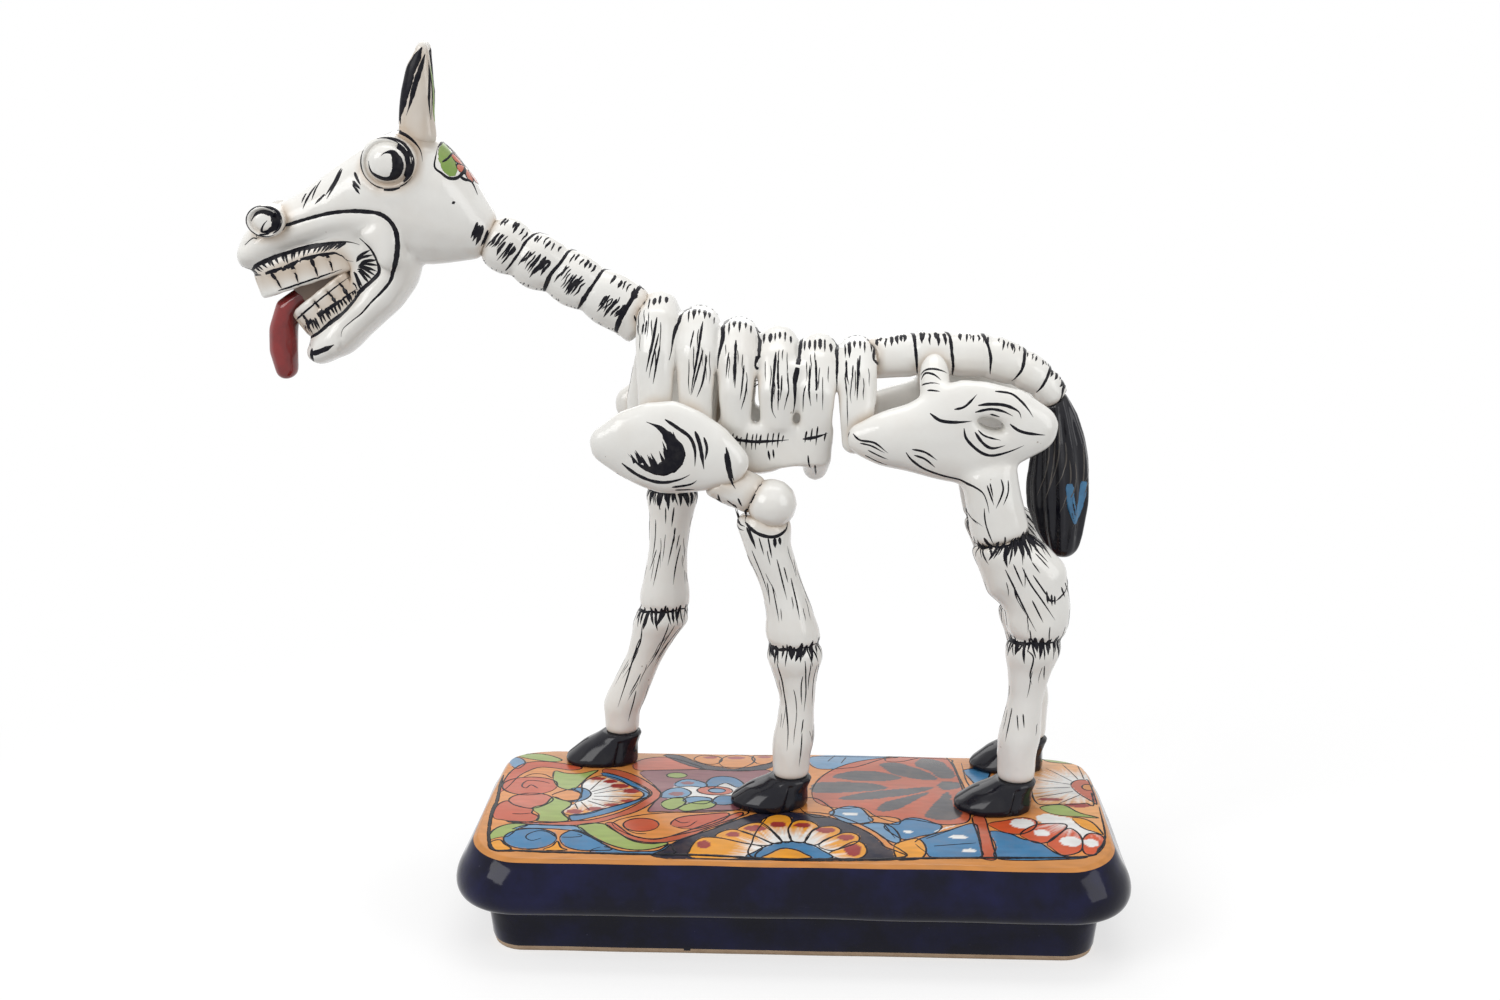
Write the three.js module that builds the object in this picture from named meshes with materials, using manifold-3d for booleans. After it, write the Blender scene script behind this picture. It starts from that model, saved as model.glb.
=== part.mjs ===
// A glazed clay horse skeleton standing on a hollow plinth, built bone by bone.
// Millimetres. X runs from the muzzle to the tail, Y away from the horse's left side, Z up.
import * as THREE from 'three';
import Module from 'manifold-3d';
import { mergeVertices } from 'three/addons/utils/BufferGeometryUtils.js';

const wasm = await Module();
wasm.setup();

// Clearance left in every luted joint
const jointGap = 0.3;

// Plinth
const plinthLength = 290;
const plinthWidth = 140;
const plinthHeight = 46;
const plinthCrown = 5;
const plinthCorner = 30;
const plinthWall = 7;
const footHeight = 22;
const footInset = 13;
const skirtInset = 10;

// Where the horse stands on the plinth
const midline = 18;
const frontStance = 26;
const hindStance = 26;
const hoofFromEnd = 53;
const nearFrontHoof = -11;

// Heights above the ground
const overallHeight = 380;
const earLength = 42;
const crownRise = 40;
const napeHeight = overallHeight - earLength - crownRise;
const withersHeight = 276;
const backHeight = 258;
const hipHeight = 216;
const elbowHeight = 188;
const costalRise = 30;
const costalHeight = elbowHeight + costalRise;
const stifleHeight = 173;
const hockHeight = 129;
const kneeHeight = 124;
const ankleHeight = 64;

// Legs
const cannonHalf = 8.2;
const kneeHalf = 12;
const forearmHalf = 9.5;
const elbowBallRadius = 10.5;
const hoofLength = 34;
const hoofWidth = 27;
const hoofTop = 21;
const hoofToe = 10;

// Rib cage and spine
const ribCount = 6;
const ribPitch = 17.2;
const firstRib = -60;
const cageHalfWidth = 26;
const ribHalfThick = 5.5;
const spineHalfThick = 8;
const ribEndsAboveBelly = 12;
const breastboneDrop = 22;

// Neck and loins
const neckReach = 71;
const neckHalf = 12.2;
const neckHalfWidth = 10.5;
const neckBow = 1.6;
const croupLength = 86.5;
const loinHalf = 9.6;
const loinHalfWidth = 9.5;
const tailLength = 70;
const tailHalf = 13.5;
const tailHalfWidth = 9;

// Shoulder and hip plates
const bladeLength = 65;
const bladeHalf = 20.5;
const bladeHalfThick = 7.5;
const hipLength = 88;
const hipHalf = 23;
const hipHalfThick = 9;
const hipEyeHalf = 7.5;

// Head
const headLength = 113;
const skullHalfWidth = 21;
const jawHalf = 8;
const jawHalfWidth = 15;
const eyeRadius = 12;
const eyeRise = 4.5;
const eyeRing = 2.2;
const nostrilRadius = 9;
const nostrilRing = 1.8;
const earHalfWidth = 7.6;
const toothRowHalfWidth = 12;
const toothRowThick = 5.5;
const toothHeight = 10;
const upperRowLength = 43;
const lowerRowLength = 32;
const tongueHalfWidth = 8;

// Radius that softens the rim of a piece at a joint, and how finely a piece is faceted
const lip = 1.6;
const aroundSides = 12;
const ringSpacing = 13;

const acrossY = new THREE.Vector3(0, 1, 0);
const acrossX = new THREE.Vector3(1, 0, 0);

// Geometry from points and triangles, turned so that its faces point out
function closedGeometry(points, index) {
  const geometry = new THREE.BufferGeometry();
  let volume = 0;
  const corner = new THREE.Vector3();
  for (let i = 0; i < index.length; i += 3) {
    corner.crossVectors(points[index[i]], points[index[i + 1]]);
    volume += corner.dot(points[index[i + 2]]);
  }
  const faces = volume < 0 ? index.slice().reverse() : index;
  geometry.setAttribute('position', new THREE.Float32BufferAttribute(points.flatMap((p) => p.toArray()), 3));
  geometry.setIndex(faces);
  return geometry;
}

// A closed skin over a row of rings, with a flat end on the first and last ring
function skin(rings) {
  const count = rings[0].length;
  const index = [];
  for (let r = 0; r < rings.length - 1; r++) {
    for (let i = 0; i < count; i++) {
      const a = r * count + i;
      const b = r * count + (i + 1) % count;
      index.push(a, b, b + count, a, b + count, a + count);
    }
  }
  const last = (rings.length - 1) * count;
  for (let i = 1; i < count - 1; i++) {
    index.push(0, i + 1, i);
    index.push(last, last + i, last + i + 1);
  }
  return closedGeometry(rings.flat(), index);
}

// Distances and insets of the rings that round one end of a piece
function roundedEnd(radius, steps) {
  const rings = [];
  for (let i = 0; i <= steps; i++) {
    const angle = (i / steps) * Math.PI / 2;
    rings.push({ distance: radius * (1 - Math.sin(angle)), inset: radius * (1 - Math.cos(angle)) });
  }
  return rings.reverse();
}

// A hand-rolled piece: oval sections along a smooth line through its stations.
// A station is [x, y, z, half depth, half width], the half width lying along 'across'.
function limb(stations, options = {}) {
  const { from = 0, to = stations.length - 1, across = acrossY, square = null } = options;
  const { roundFrom = lip, roundTo = lip, sides = aroundSides, spacing = ringSpacing } = options;
  const line = new THREE.CatmullRomCurve3(stations.map((s) => new THREE.Vector3(s[0], s[1], s[2])));
  const halves = stations.map((s) => new THREE.Vector3(s[3], s[4], 0));
  const profile = new THREE.CatmullRomCurve3(halves, false, 'catmullrom', 0.5);
  const perStation = 20;
  line.arcLengthDivisions = (stations.length - 1) * perStation;
  const lengths = line.getLengths();
  const total = lengths[lengths.length - 1];
  const start = lengths[Math.round(from * perStation)] + jointGap / 2;
  const end = lengths[Math.round(to * perStation)] - jointGap / 2;
  const head = roundedEnd(roundFrom, roundFrom > lip ? 3 : 1);
  const tail = roundedEnd(roundTo, roundTo > lip ? 3 : 1).reverse();
  const marks = head.map((ring) => ({ at: start + ring.distance, inset: ring.inset }));
  const bodyStart = start + roundFrom;
  const bodyEnd = end - roundTo;
  const steps = Math.max(1, Math.round((bodyEnd - bodyStart) / spacing));
  for (let i = 1; i < steps; i++) {
    marks.push({ at: bodyStart + (bodyEnd - bodyStart) * i / steps, inset: 0 });
  }
  tail.forEach((ring) => marks.push({ at: end - ring.distance, inset: ring.inset }));
  const rings = marks.map(({ at, inset }) => {
    const t = line.getUtoTmapping(at / total);
    const centre = line.getPoint(t);
    const along = square ?? line.getTangent(t);
    const half = profile.getPoint(t);
    const deepWay = new THREE.Vector3().crossVectors(across, along).normalize();
    const wideWay = new THREE.Vector3().crossVectors(along, deepWay).normalize();
    return ovalRing(centre, deepWay, wideWay, half.x - inset, half.y - inset, sides);
  });
  return skin(rings);
}

function ovalRing(centre, deepWay, wideWay, halfDeep, halfWide, sides) {
  const smallest = 0.4;
  const deep = Math.max(halfDeep, smallest);
  const wide = Math.max(halfWide, smallest);
  return Array.from({ length: sides }, (_, i) => {
    const angle = (i / sides) * Math.PI * 2;
    return centre.clone()
      .addScaledVector(deepWay, deep * Math.cos(angle))
      .addScaledVector(wideWay, wide * Math.sin(angle));
  });
}

function welded(geometry) {
  geometry.deleteAttribute('normal');
  geometry.deleteAttribute('uv');
  return mergeVertices(geometry, 1e-4);
}

function toSolid(geometry) {
  const vertProperties = new Float32Array(geometry.getAttribute('position').array);
  const triVerts = new Uint32Array(geometry.getIndex().array);
  return new wasm.Manifold(new wasm.Mesh({ numProp: 3, vertProperties, triVerts }));
}

function fromSolid(solid) {
  const mesh = solid.getMesh();
  const geometry = new THREE.BufferGeometry();
  geometry.setAttribute('position', new THREE.Float32BufferAttribute(mesh.vertProperties, 3));
  geometry.setIndex(Array.from(mesh.triVerts));
  return geometry;
}

// A copy grown by a clearance: each corner moves so that every face about it stands off by that much
function grown(geometry, clearance) {
  const position = geometry.getAttribute('position');
  const index = geometry.getIndex().array;
  const cornerAt = (_, i) => new THREE.Vector3().fromBufferAttribute(position, i);
  const points = Array.from({ length: position.count }, cornerAt);
  const sums = points.map(() => ({ m: new Array(9).fill(0), pull: new THREE.Vector3() }));
  const normal = new THREE.Vector3();
  const edge = new THREE.Vector3();
  for (let i = 0; i < index.length; i += 3) {
    const [a, b, c] = [points[index[i]], points[index[i + 1]], points[index[i + 2]]];
    normal.subVectors(b, a).cross(edge.subVectors(c, a));
    const weight = normal.length();
    if (weight < 1e-6) continue;
    normal.divideScalar(weight);
    const n = normal.toArray();
    for (let k = 0; k < 3; k++) {
      const sum = sums[index[i + k]];
      for (let row = 0; row < 3; row++) {
        for (let column = 0; column < 3; column++) {
          sum.m[row * 3 + column] += weight * n[row] * n[column];
        }
      }
      sum.pull.addScaledVector(normal, weight * clearance);
    }
  }
  const moved = points.map((p, i) => {
    const { m, pull } = sums[i];
    const soften = 0.02 * (m[0] + m[4] + m[8]);
    const matrix = new THREE.Matrix3().set(
      m[0] + soften, m[1], m[2], m[3], m[4] + soften, m[5], m[6], m[7], m[8] + soften);
    const shift = pull.clone().applyMatrix3(matrix.invert());
    const reach = 2.5 * clearance;
    return p.clone().add(shift.clampLength(0, reach));
  });
  return closedGeometry(moved, Array.from(index));
}

// A piece pressed against its neighbours: it is cut back to the joint clearance wherever it meets them
function seated(geometry, neighbours) {
  let solid = toSolid(geometry);
  neighbours.forEach((neighbour) => {
    solid = solid.subtract(toSolid(grown(neighbour, jointGap * 1.15)));
  });
  return fromSolid(solid);
}

// Glazes
const glaze = (color, roughness = 0.2) => new THREE.MeshStandardMaterial({ color, roughness, metalness: 0 });
const boneGlaze = 0xe6e3dc;
const hoofGlaze = 0x14141c;
const skirtGlaze = 0x14123a;
const patternGlaze = 0xc9824a;
const tongueGlaze = 0x7d2228;
const eyeGlaze = 0xdedbd4;

const group = new THREE.Group();
const pieces = {};

function add(name, geometry, color) {
  pieces[name] = geometry;
  const mesh = new THREE.Mesh(geometry, glaze(color));
  mesh.name = name;
  group.add(mesh);
  return geometry;
}

// Plinth: a rounded rectangle ring, drawn in from the largest outline by 'inset'
function plinthRing(inset, z, turns = 5) {
  const halfX = plinthLength / 2 - inset;
  const halfY = plinthWidth / 2 - inset;
  const corner = Math.min(Math.max(plinthCorner - inset, 2), halfY - 0.5);
  const points = [];
  [[1, 1], [-1, 1], [-1, -1], [1, -1]].forEach(([sx, sy], quarter) => {
    for (let i = 0; i <= turns; i++) {
      const angle = (quarter + i / turns) * Math.PI / 2;
      points.push(new THREE.Vector3(
        sx * (halfX - corner) + corner * Math.cos(angle),
        sy * (halfY - corner) + corner * Math.sin(angle),
        z));
    }
  });
  return points;
}

function crownAt(inset) {
  const fromMiddle = 1 - (inset - skirtInset) / (plinthWidth / 2 - skirtInset);
  return plinthHeight + plinthCrown * (1 - fromMiddle * fromMiddle);
}

const skirtRise = plinthHeight - footHeight;
const innerInset = footInset + plinthWall;
const skirtRings = [[4, 0], [0.8, 0.14], [0, 0.34], [1.6, 0.58], [5, 0.82], [skirtInset, 1]];
const crownInsets = [skirtInset + 14, skirtInset + 32, plinthWidth / 2 - 3];
const coverOutside = skin([
  ...skirtRings.map(([inset, rise]) => plinthRing(inset, footHeight + skirtRise * rise)),
  ...crownInsets.map((inset) => plinthRing(inset, crownAt(inset))),
]);
const flangeTop = footHeight + plinthWall;
const coverHollow = skin([
  plinthRing(innerInset, footHeight - 5),
  plinthRing(innerInset, flangeTop),
  plinthRing(skirtInset + plinthWall * 0.6, flangeTop + 3),
  plinthRing(skirtInset + plinthWall, plinthHeight - plinthWall),
]);
add('plinth_top', fromSolid(toSolid(coverOutside).subtract(toSolid(coverHollow))), patternGlaze);

const footTaper = 3;
const footOutside = skin([
  plinthRing(footInset + footTaper, 0),
  plinthRing(footInset + footTaper - 1.5, 2.5),
  plinthRing(footInset, footHeight - jointGap),
]);
const footInside = skin([plinthRing(innerInset, -1), plinthRing(innerInset, footHeight + 1)]);
add('plinth_foot', fromSolid(toSolid(footOutside).subtract(toSolid(footInside))), skirtGlaze);

// Ground under a point of the crowned top
function groundAt(y) {
  const fromMiddle = Math.min(1, Math.abs(y) / (plinthWidth / 2 - skirtInset));
  return plinthHeight + plinthCrown * (1 - fromMiddle * fromMiddle);
}

// Hoof: a flared cup with a long toe, cut to the crown of the plinth
function hoof(name, ankleX, y) {
  const ground = groundAt(y);
  const rise = ankleHeight - ground;
  const soleX = ankleX - hoofToe;
  const levels = [
    [soleX, -4, hoofLength / 2, hoofWidth / 2],
    [soleX, rise * 0.2, hoofLength / 2, hoofWidth / 2],
    [soleX + hoofToe * 0.35, rise * 0.6, hoofLength * 0.42, hoofWidth * 0.46],
    [ankleX, rise - 1, hoofTop / 2 + 0.8, hoofTop / 2 + 0.5],
    [ankleX, rise, hoofTop / 2 - 0.6, hoofTop / 2 - 0.8],
  ];
  const rings = levels.map(([x, z, halfX, halfY]) => {
    const centre = new THREE.Vector3(x, y, ground + z);
    return ovalRing(centre, acrossX, acrossY, halfX, halfY, 14);
  });
  return add(name, seated(skin(rings), [coverOutside]), hoofGlaze);
}

// The four legs. Each is given by the places where its bones meet, along X.
const left = midline - frontStance;
const right = midline + frontStance;
const hindLeft = midline - hindStance;
const hindRight = midline + hindStance;
const sink = 2.5;

// A bone of a leg: one stretch of the leg's line between two joints, resting on the piece below it
function legBone(name, line, from, to, below) {
  const geometry = limb(line, { from, to });
  return add(name, below.length > 0 ? seated(geometry, below) : geometry, boneGlaze);
}

// Stations of the cannon bone, from inside the hoof up to the joint above it
function cannonLine(y, x, topX, topHeight) {
  const middle = (topHeight + ankleHeight) / 2;
  return [
    [x.ankle, y, ankleHeight - sink, cannonHalf * 0.95, cannonHalf * 0.95],
    [x.ankle, y, ankleHeight + 12, cannonHalf, cannonHalf],
    [x.shin, y, middle, cannonHalf, cannonHalf * 0.92],
    [(x.shin + topX) / 2, y, (middle + topHeight) / 2, cannonHalf * 1.12, cannonHalf],
    [topX, y, topHeight, kneeHalf * 0.96, kneeHalf * 0.88],
  ];
}

function frontLeg(side, y, x) {
  const hoofPiece = hoof(`hoof_front_${side}`, x.ankle, y);
  const ball = new THREE.SphereGeometry(elbowBallRadius, 12, 8);
  ball.translate(x.ball, y - 2 * Math.sign(midline - y), elbowHeight);
  const ballPiece = add(`elbow_ball_${side}`, welded(ball), boneGlaze);
  const third = (elbowHeight - kneeHeight) / 3;
  const line = [
    ...cannonLine(y, x, x.knee, kneeHeight),
    [x.knee + (x.elbow - x.knee) * 0.25, y, kneeHeight + third, forearmHalf, forearmHalf],
    [x.knee + (x.elbow - x.knee) * 0.8, y, kneeHeight + 2 * third, forearmHalf, forearmHalf],
    [x.elbow, y, elbowHeight - 4, forearmHalf * 1.25, forearmHalf * 1.1],
  ];
  legBone(`cannon_front_${side}`, line, 0, 4, [hoofPiece]);
  legBone(`forearm_${side}`, line, 4, 7, [ballPiece]);
}

const nearBall = firstRib + 50;
const farBall = firstRib + 3;
const nearAnkle = nearFrontHoof + hoofToe;
const farAnkle = hoofFromEnd - plinthLength / 2 + hoofToe;
frontLeg('left', left, {
  ankle: nearAnkle, shin: nearAnkle + 2.5, knee: nearAnkle + 1, elbow: nearBall - 4, ball: nearBall,
});
frontLeg('right', right, {
  ankle: farAnkle, shin: farAnkle + 8, knee: farAnkle + 20.5, elbow: farBall, ball: farBall,
});

// Rib cage: six arches side by side, their backs forming the spine
const withersRibs = 3.6;
const ribTop = (index) => backHeight + (withersHeight - backHeight) * Math.max(0, 1 - index / withersRibs);
const ribLine = cageHalfWidth - ribHalfThick;
const ribTopWide = (ribPitch - jointGap) / 2;

function ribEnd(index) {
  if (index < 2) return costalHeight - ribEndsAboveBelly;
  return index === ribCount - 1 ? costalHeight - ribEndsAboveBelly + 3 : costalHeight;
}

function rib(index) {
  const x = firstRib + index * ribPitch;
  const top = ribTop(index);
  const low = ribEnd(index);
  const bend = top - spineHalfThick - 8;
  const farForward = index === 0 ? 10 : 0;
  const arch = (side, lean) => [
    [x - lean, midline - side * (ribLine - 2), low, ribHalfThick - 1, ribTopWide - 2.4],
    [x - lean, midline - side * ribLine, low + (bend - low) * 0.3, ribHalfThick, ribTopWide - 1.8],
    [x - lean * 0.5, midline - side * ribLine, low + (bend - low) * 0.68, ribHalfThick, ribTopWide - 0.8],
    [x, midline - side * ribLine * 0.72, bend, ribHalfThick + 1.5, ribTopWide],
  ];
  const near = arch(1, 0);
  const far = arch(-1, farForward).reverse();
  const stations = [...near, [x, midline, top - spineHalfThick, spineHalfThick, ribTopWide], ...far];
  return limb(stations, { across: acrossX, roundFrom: 3.5, roundTo: 3.5, spacing: 14 });
}

for (let i = 0; i < ribCount; i++) {
  const before = i > 0 ? [pieces[`rib_${i}`]] : [];
  add(`rib_${i + 1}`, seated(rib(i), before), boneGlaze);
}

// Breastbones: shallow cradles that join the rib ends from side to side
function breastbone(name, number, halfWide, top, drop, ribs) {
  const x = firstRib + (number - 1) * ribPitch;
  const low = top - drop;
  const thick = ribHalfThick - 0.5;
  const half = [
    [x, ribLine - 2, top + 3, thick, halfWide],
    [x, ribLine - 2, top - drop * 0.4, thick, halfWide - 0.5],
    [x, ribLine * 0.66, low + thick, thick, halfWide - 2],
  ];
  const side = (way) => half.map(([px, py, ...rest]) => [px, midline + way * py, ...rest]);
  const stations = [...side(-1), [x, midline, low + thick - 1, thick, halfWide - 3], ...side(1).reverse()];
  const geometry = limb(stations, { across: acrossX, spacing: 15, sides: 8 });
  add(name, seated(geometry, ribs.map((i) => pieces[`rib_${i}`])), boneGlaze);
}

const frontRibLow = costalHeight - ribEndsAboveBelly;
breastbone('breastbone_front', 1.4, ribPitch * 1.05, frontRibLow, breastboneDrop * 0.68, [1, 2]);
breastbone('breastbone_middle', 3.5, ribPitch * 0.8, costalHeight, breastboneDrop, [2, 3, 4, 5]);
breastbone('breastbone_rear', 4.97, ribPitch * 0.46, costalHeight, breastboneDrop + 1, [4, 5, 6]);

// Neck: four vertebrae, waisted at their joints, from the skull down to the first rib
const neckCount = 4;
const napeX = firstRib - neckReach;
const neckStart = new THREE.Vector2(napeX - 3, napeHeight + 0.5);
const neckEnd = new THREE.Vector2(firstRib - 6, withersHeight - 13.5);
const neckSteps = 9;
const neckLine = Array.from({ length: neckSteps + 1 }, (_, i) => {
  const share = i / neckSteps;
  const place = neckStart.clone().lerp(neckEnd, share);
  const atJoint = i % 2 === 0 && i < neckSteps;
  const half = i === 0 ? neckHalf * 0.7 : neckHalf - (atJoint ? 1.3 : 0);
  const halfWidth = i === 0 ? neckHalfWidth * 0.8 : neckHalfWidth - (atJoint ? 1 : 0);
  return [place.x, midline, place.y + neckBow * Math.sin(Math.PI * share), half, halfWidth];
});

for (let i = 0; i < neckCount; i++) {
  const lastOne = i === neckCount - 1;
  const to = lastOne ? neckSteps : 2 * i + 2;
  const geometry = limb(neckLine, { from: 2 * i, to, spacing: 6, roundFrom: i === 0 ? 5 : lip });
  add(`neck_${i + 1}`, lastOne ? seated(geometry, [pieces.rib_1]) : geometry, boneGlaze);
}

// Loins: six vertebrae from the last rib to the tail
const lastRib = firstRib + (ribCount - 1) * ribPitch;
const loinSteps = [
  [0.035, -0.139, 0.84, 0.95],
  [0.289, -0.113, 1, 1],
  [0.474, -0.113, 1.02, 1],
  [0.653, -0.12, 0.96, 1],
  [0.809, -0.173, 0.88, 0.95],
  [0.925, -0.243, 0.77, 0.9],
  [1, -0.335, 0.63, 0.8],
];
const loinLine = loinSteps.map(([x, z, deep, wide]) => [
  lastRib + croupLength * x, midline, backHeight + croupLength * z, loinHalf * deep, loinHalfWidth * wide,
]);

for (let i = 0; i < loinSteps.length - 1; i++) {
  const geometry = limb(loinLine, { from: i, to: i + 1, spacing: 7 });
  add(`loin_${i + 1}`, i === 0 ? seated(geometry, [pieces.rib_6]) : geometry, boneGlaze);
}

const [dockX, , dockZ] = loinLine[loinLine.length - 1];
const tailSteps = [
  [-0.021, 0.043, 0.33, 0.55],
  [0.021, -0.143, 0.63, 0.83],
  [0.036, -0.371, 0.9, 0.95],
  [0.036, -0.6, 1, 1],
  [0.057, -0.8, 0.78, 0.95],
  [0.1, -1, 0.37, 0.66],
];
const tail = limb(tailSteps.map(([x, z, deep, wide]) => [
  dockX + tailLength * x, midline, dockZ + tailLength * z, tailHalf * deep, tailHalfWidth * wide,
]), { roundTo: 4.5, spacing: 10 });
add('tail', seated(tail, [pieces.loin_6]), hoofGlaze);

// Shoulder blades: thick oval plates lying against the ribs, then the upper arm down to the elbow ball
function shoulder(side, way, legY, shiftX, shiftZ, ballX, armX, armZ) {
  const y = midline + way * (cageHalfWidth + bladeHalfThick - 3);
  const outline = [
    [-0.415, -0.077, 0.24, 0.4],
    [-0.215, -0.062, 0.68, 0.86],
    [0.062, -0.077, 1, 1],
    [0.308, -0.131, 0.83, 1],
    [0.492, -0.2, 0.54, 0.86],
    [0.585, -0.262, 0.3, 0.66],
  ];
  const blade = limb(outline.map(([x, z, deep, wide]) => [
    firstRib + shiftX + bladeLength * x, y, costalHeight + shiftZ + bladeLength * z,
    bladeHalf * deep, bladeHalfThick * wide,
  ]), { roundFrom: 2.6, roundTo: 4, spacing: 11 });
  const ribs = ['rib_1', 'rib_2', 'rib_3', 'breastbone_front', 'breastbone_middle'].map((n) => pieces[n]);
  const elbow = [pieces[`elbow_ball_${side}`], pieces[`forearm_${side}`]];
  const bladePiece = add(`scapula_${side}`, seated(blade, [...ribs, elbow[0]]), boneGlaze);
  const armY = legY + 2 * way;
  const arm = limb([
    [firstRib + armX, armY, costalHeight + armZ, elbowBallRadius * 0.76, elbowBallRadius * 0.67],
    [
      (firstRib + armX + ballX) / 2, (armY + legY) / 2, (costalHeight + armZ + elbowHeight) / 2,
      elbowBallRadius * 0.82, elbowBallRadius * 0.76,
    ],
    [ballX, legY, elbowHeight, elbowBallRadius * 0.72, elbowBallRadius * 0.72],
  ], { spacing: 9 });
  add(`upper_arm_${side}`, seated(arm, [bladePiece, ...ribs, ...elbow]), boneGlaze);
}

shoulder('left', -1, left, 0, 0, nearBall, 24, -18);
shoulder('right', 1, right, 4, 6, farBall, 0, -8);

// Hip halves: a spur from the last rib widening to a plate with an eye, and a stalk up to the loins
function hip(side, way) {
  const y = midline + way * (cageHalfWidth - 1.5);
  const outline = [
    [-0.045, 0.333, 0, 0.2, 0.5],
    [0.068, 0.444, 0.011, 0.45, 0.84],
    [0.205, 0.333, 0.006, 0.57, 0.95],
    [0.364, 0, 0.017, 0.82, 1],
    [0.523, 0, 0.034, 1, 1],
    [0.705, 0, 0.062, 0.81, 0.95],
    [0.852, 0, 0.057, 0.53, 0.84],
    [0.955, 0, 0.04, 0.27, 0.56],
  ];
  const body = limb(outline.map(([x, out, z, deep, wide]) => [
    lastRib + hipLength * x, y + way * hipHalfThick * out, hipHeight + hipLength * z,
    hipHalf * deep, hipHalfThick * wide,
  ]), { roundFrom: 3, roundTo: 4, spacing: 11 });
  const spineZ = backHeight - loinHalf * 1.25;
  const stalkX = lastRib + hipLength * 0.38;
  const stalk = limb([
    [stalkX + 0.5, y, hipHeight + hipHalf * 0.35, hipHalfThick, hipHalfThick * 0.67],
    [stalkX - 0.5, y - way * 6, (hipHeight + spineZ) / 2 + 6, hipHalfThick * 0.83, hipHalfThick * 0.67],
    [stalkX - 1, midline + way * loinHalfWidth * 0.6, spineZ, hipHalfThick * 0.83, hipHalfThick * 0.67],
  ], { spacing: 9, across: acrossX, sides: 10 });
  let solid = toSolid(body).add(toSolid(stalk));
  if (way > 0) {
    const crest = limb([
      [lastRib + hipLength * 0.41, y - 2, hipHeight + hipHalf * 1.13, hipHalf * 0.35, hipHalfThick * 0.56],
      [lastRib + hipLength * 0.557, y - 3, hipHeight + hipHalf * 1.26, hipHalf * 0.54, hipHalfThick * 0.72],
      [lastRib + hipLength * 0.705, y - 2, hipHeight + hipHalf * 1.04, hipHalf * 0.39, hipHalfThick * 0.61],
    ], { roundFrom: 4, roundTo: 4, sides: 10 });
    solid = solid.add(toSolid(crest));
  }
  const eye = new THREE.Shape();
  eye.absellipse(0, 0, hipEyeHalf, hipEyeHalf * 0.48, 0, Math.PI * 2);
  const eyeDepth = 4 * hipHalfThick;
  const eyeTool = new THREE.ExtrudeGeometry(eye, { depth: eyeDepth, bevelEnabled: false, curveSegments: 6 });
  eyeTool.translate(0, 0, -eyeDepth / 2);
  eyeTool.rotateZ(-0.35);
  eyeTool.rotateX(Math.PI / 2);
  eyeTool.translate(lastRib + hipLength * 0.636, y, hipHeight + hipHalf * 0.33);
  solid = solid.subtract(toSolid(welded(eyeTool)));
  const spine = ['rib_6', 'loin_1', 'loin_2', 'loin_3', 'loin_4', 'tail'].map((n) => pieces[n]);
  return add(`hip_${side}`, seated(fromSolid(solid), spine), boneGlaze);
}

function hindLeg(side, y, way, x) {
  const hoofPiece = hoof(`hoof_hind_${side}`, x.ankle, y);
  const hipPiece = hip(side, way);
  const line = [
    ...cannonLine(y, x, x.hock, hockHeight),
    [x.hock + 1, y, hockHeight + 10, kneeHalf + 1.5, kneeHalf * 0.9],
    [x.hock - 1.5, y, hockHeight + (stifleHeight - hockHeight) * 0.54, kneeHalf + 4, kneeHalf * 0.92],
    [x.hock - 13, y, hockHeight + (stifleHeight - hockHeight) * 0.8, kneeHalf + 4, kneeHalf * 0.9],
    [x.stifle, y, stifleHeight, kneeHalf + 0.5, kneeHalf * 0.86],
    [x.stifle - 3, y, stifleHeight + (hipHeight - stifleHeight) * 0.28, kneeHalf, kneeHalf * 0.8],
    [x.stifle - 7, y, hipHeight - 12, kneeHalf, kneeHalf * 0.7],
  ];
  legBone(`cannon_hind_${side}`, line, 0, 4, [hoofPiece]);
  legBone(`gaskin_${side}`, line, 4, 8, []);
  legBone(`thigh_${side}`, line, 8, 10, [hipPiece]);
}

const hindAnkle = plinthLength / 2 - hoofFromEnd + hoofToe - 3;
const stifleX = lastRib + hipLength * 0.71;
hindLeg('left', hindLeft, -1, {
  ankle: hindAnkle - 1, shin: hindAnkle + 1.5, hock: hindAnkle + 5, stifle: stifleX,
});
hindLeg('right', hindRight, 1, {
  ankle: hindAnkle + 10, shin: hindAnkle + 9, hock: hindAnkle + 6, stifle: stifleX,
});

// A station of the head, at shares of the head's length from the nape
const fromNape = (x, z, deep, wide) =>
  [napeX + headLength * x, midline, napeHeight + headLength * z, deep, wide];

// Skull: upright oval sections from the nape to the muzzle
const skullSteps = [
  [0.018, 0, 0.062, 0.33],
  [-0.053, 0.058, 0.137, 0.57],
  [-0.15, 0.119, 0.212, 0.81],
  [-0.257, 0.155, 0.257, 0.95],
  [-0.354, 0.168, 0.23, 1],
  [-0.451, 0.168, 0.186, 0.9],
  [-0.558, 0.137, 0.146, 0.81],
  [-0.673, 0.088, 0.111, 0.74],
  [-0.796, 0.035, 0.097, 0.69],
  [-0.898, -0.022, 0.097, 0.67],
  [-0.973, -0.075, 0.049, 0.45],
];
const skull = limb(
  skullSteps.map(([x, z, deep, wide]) => fromNape(x, z, headLength * deep, skullHalfWidth * wide)),
  { square: new THREE.Vector3(-1, 0, 0), roundFrom: 3, roundTo: 4, spacing: 11, sides: 16 });
add('skull', seated(skull, [pieces.neck_1]), boneGlaze);

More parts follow.
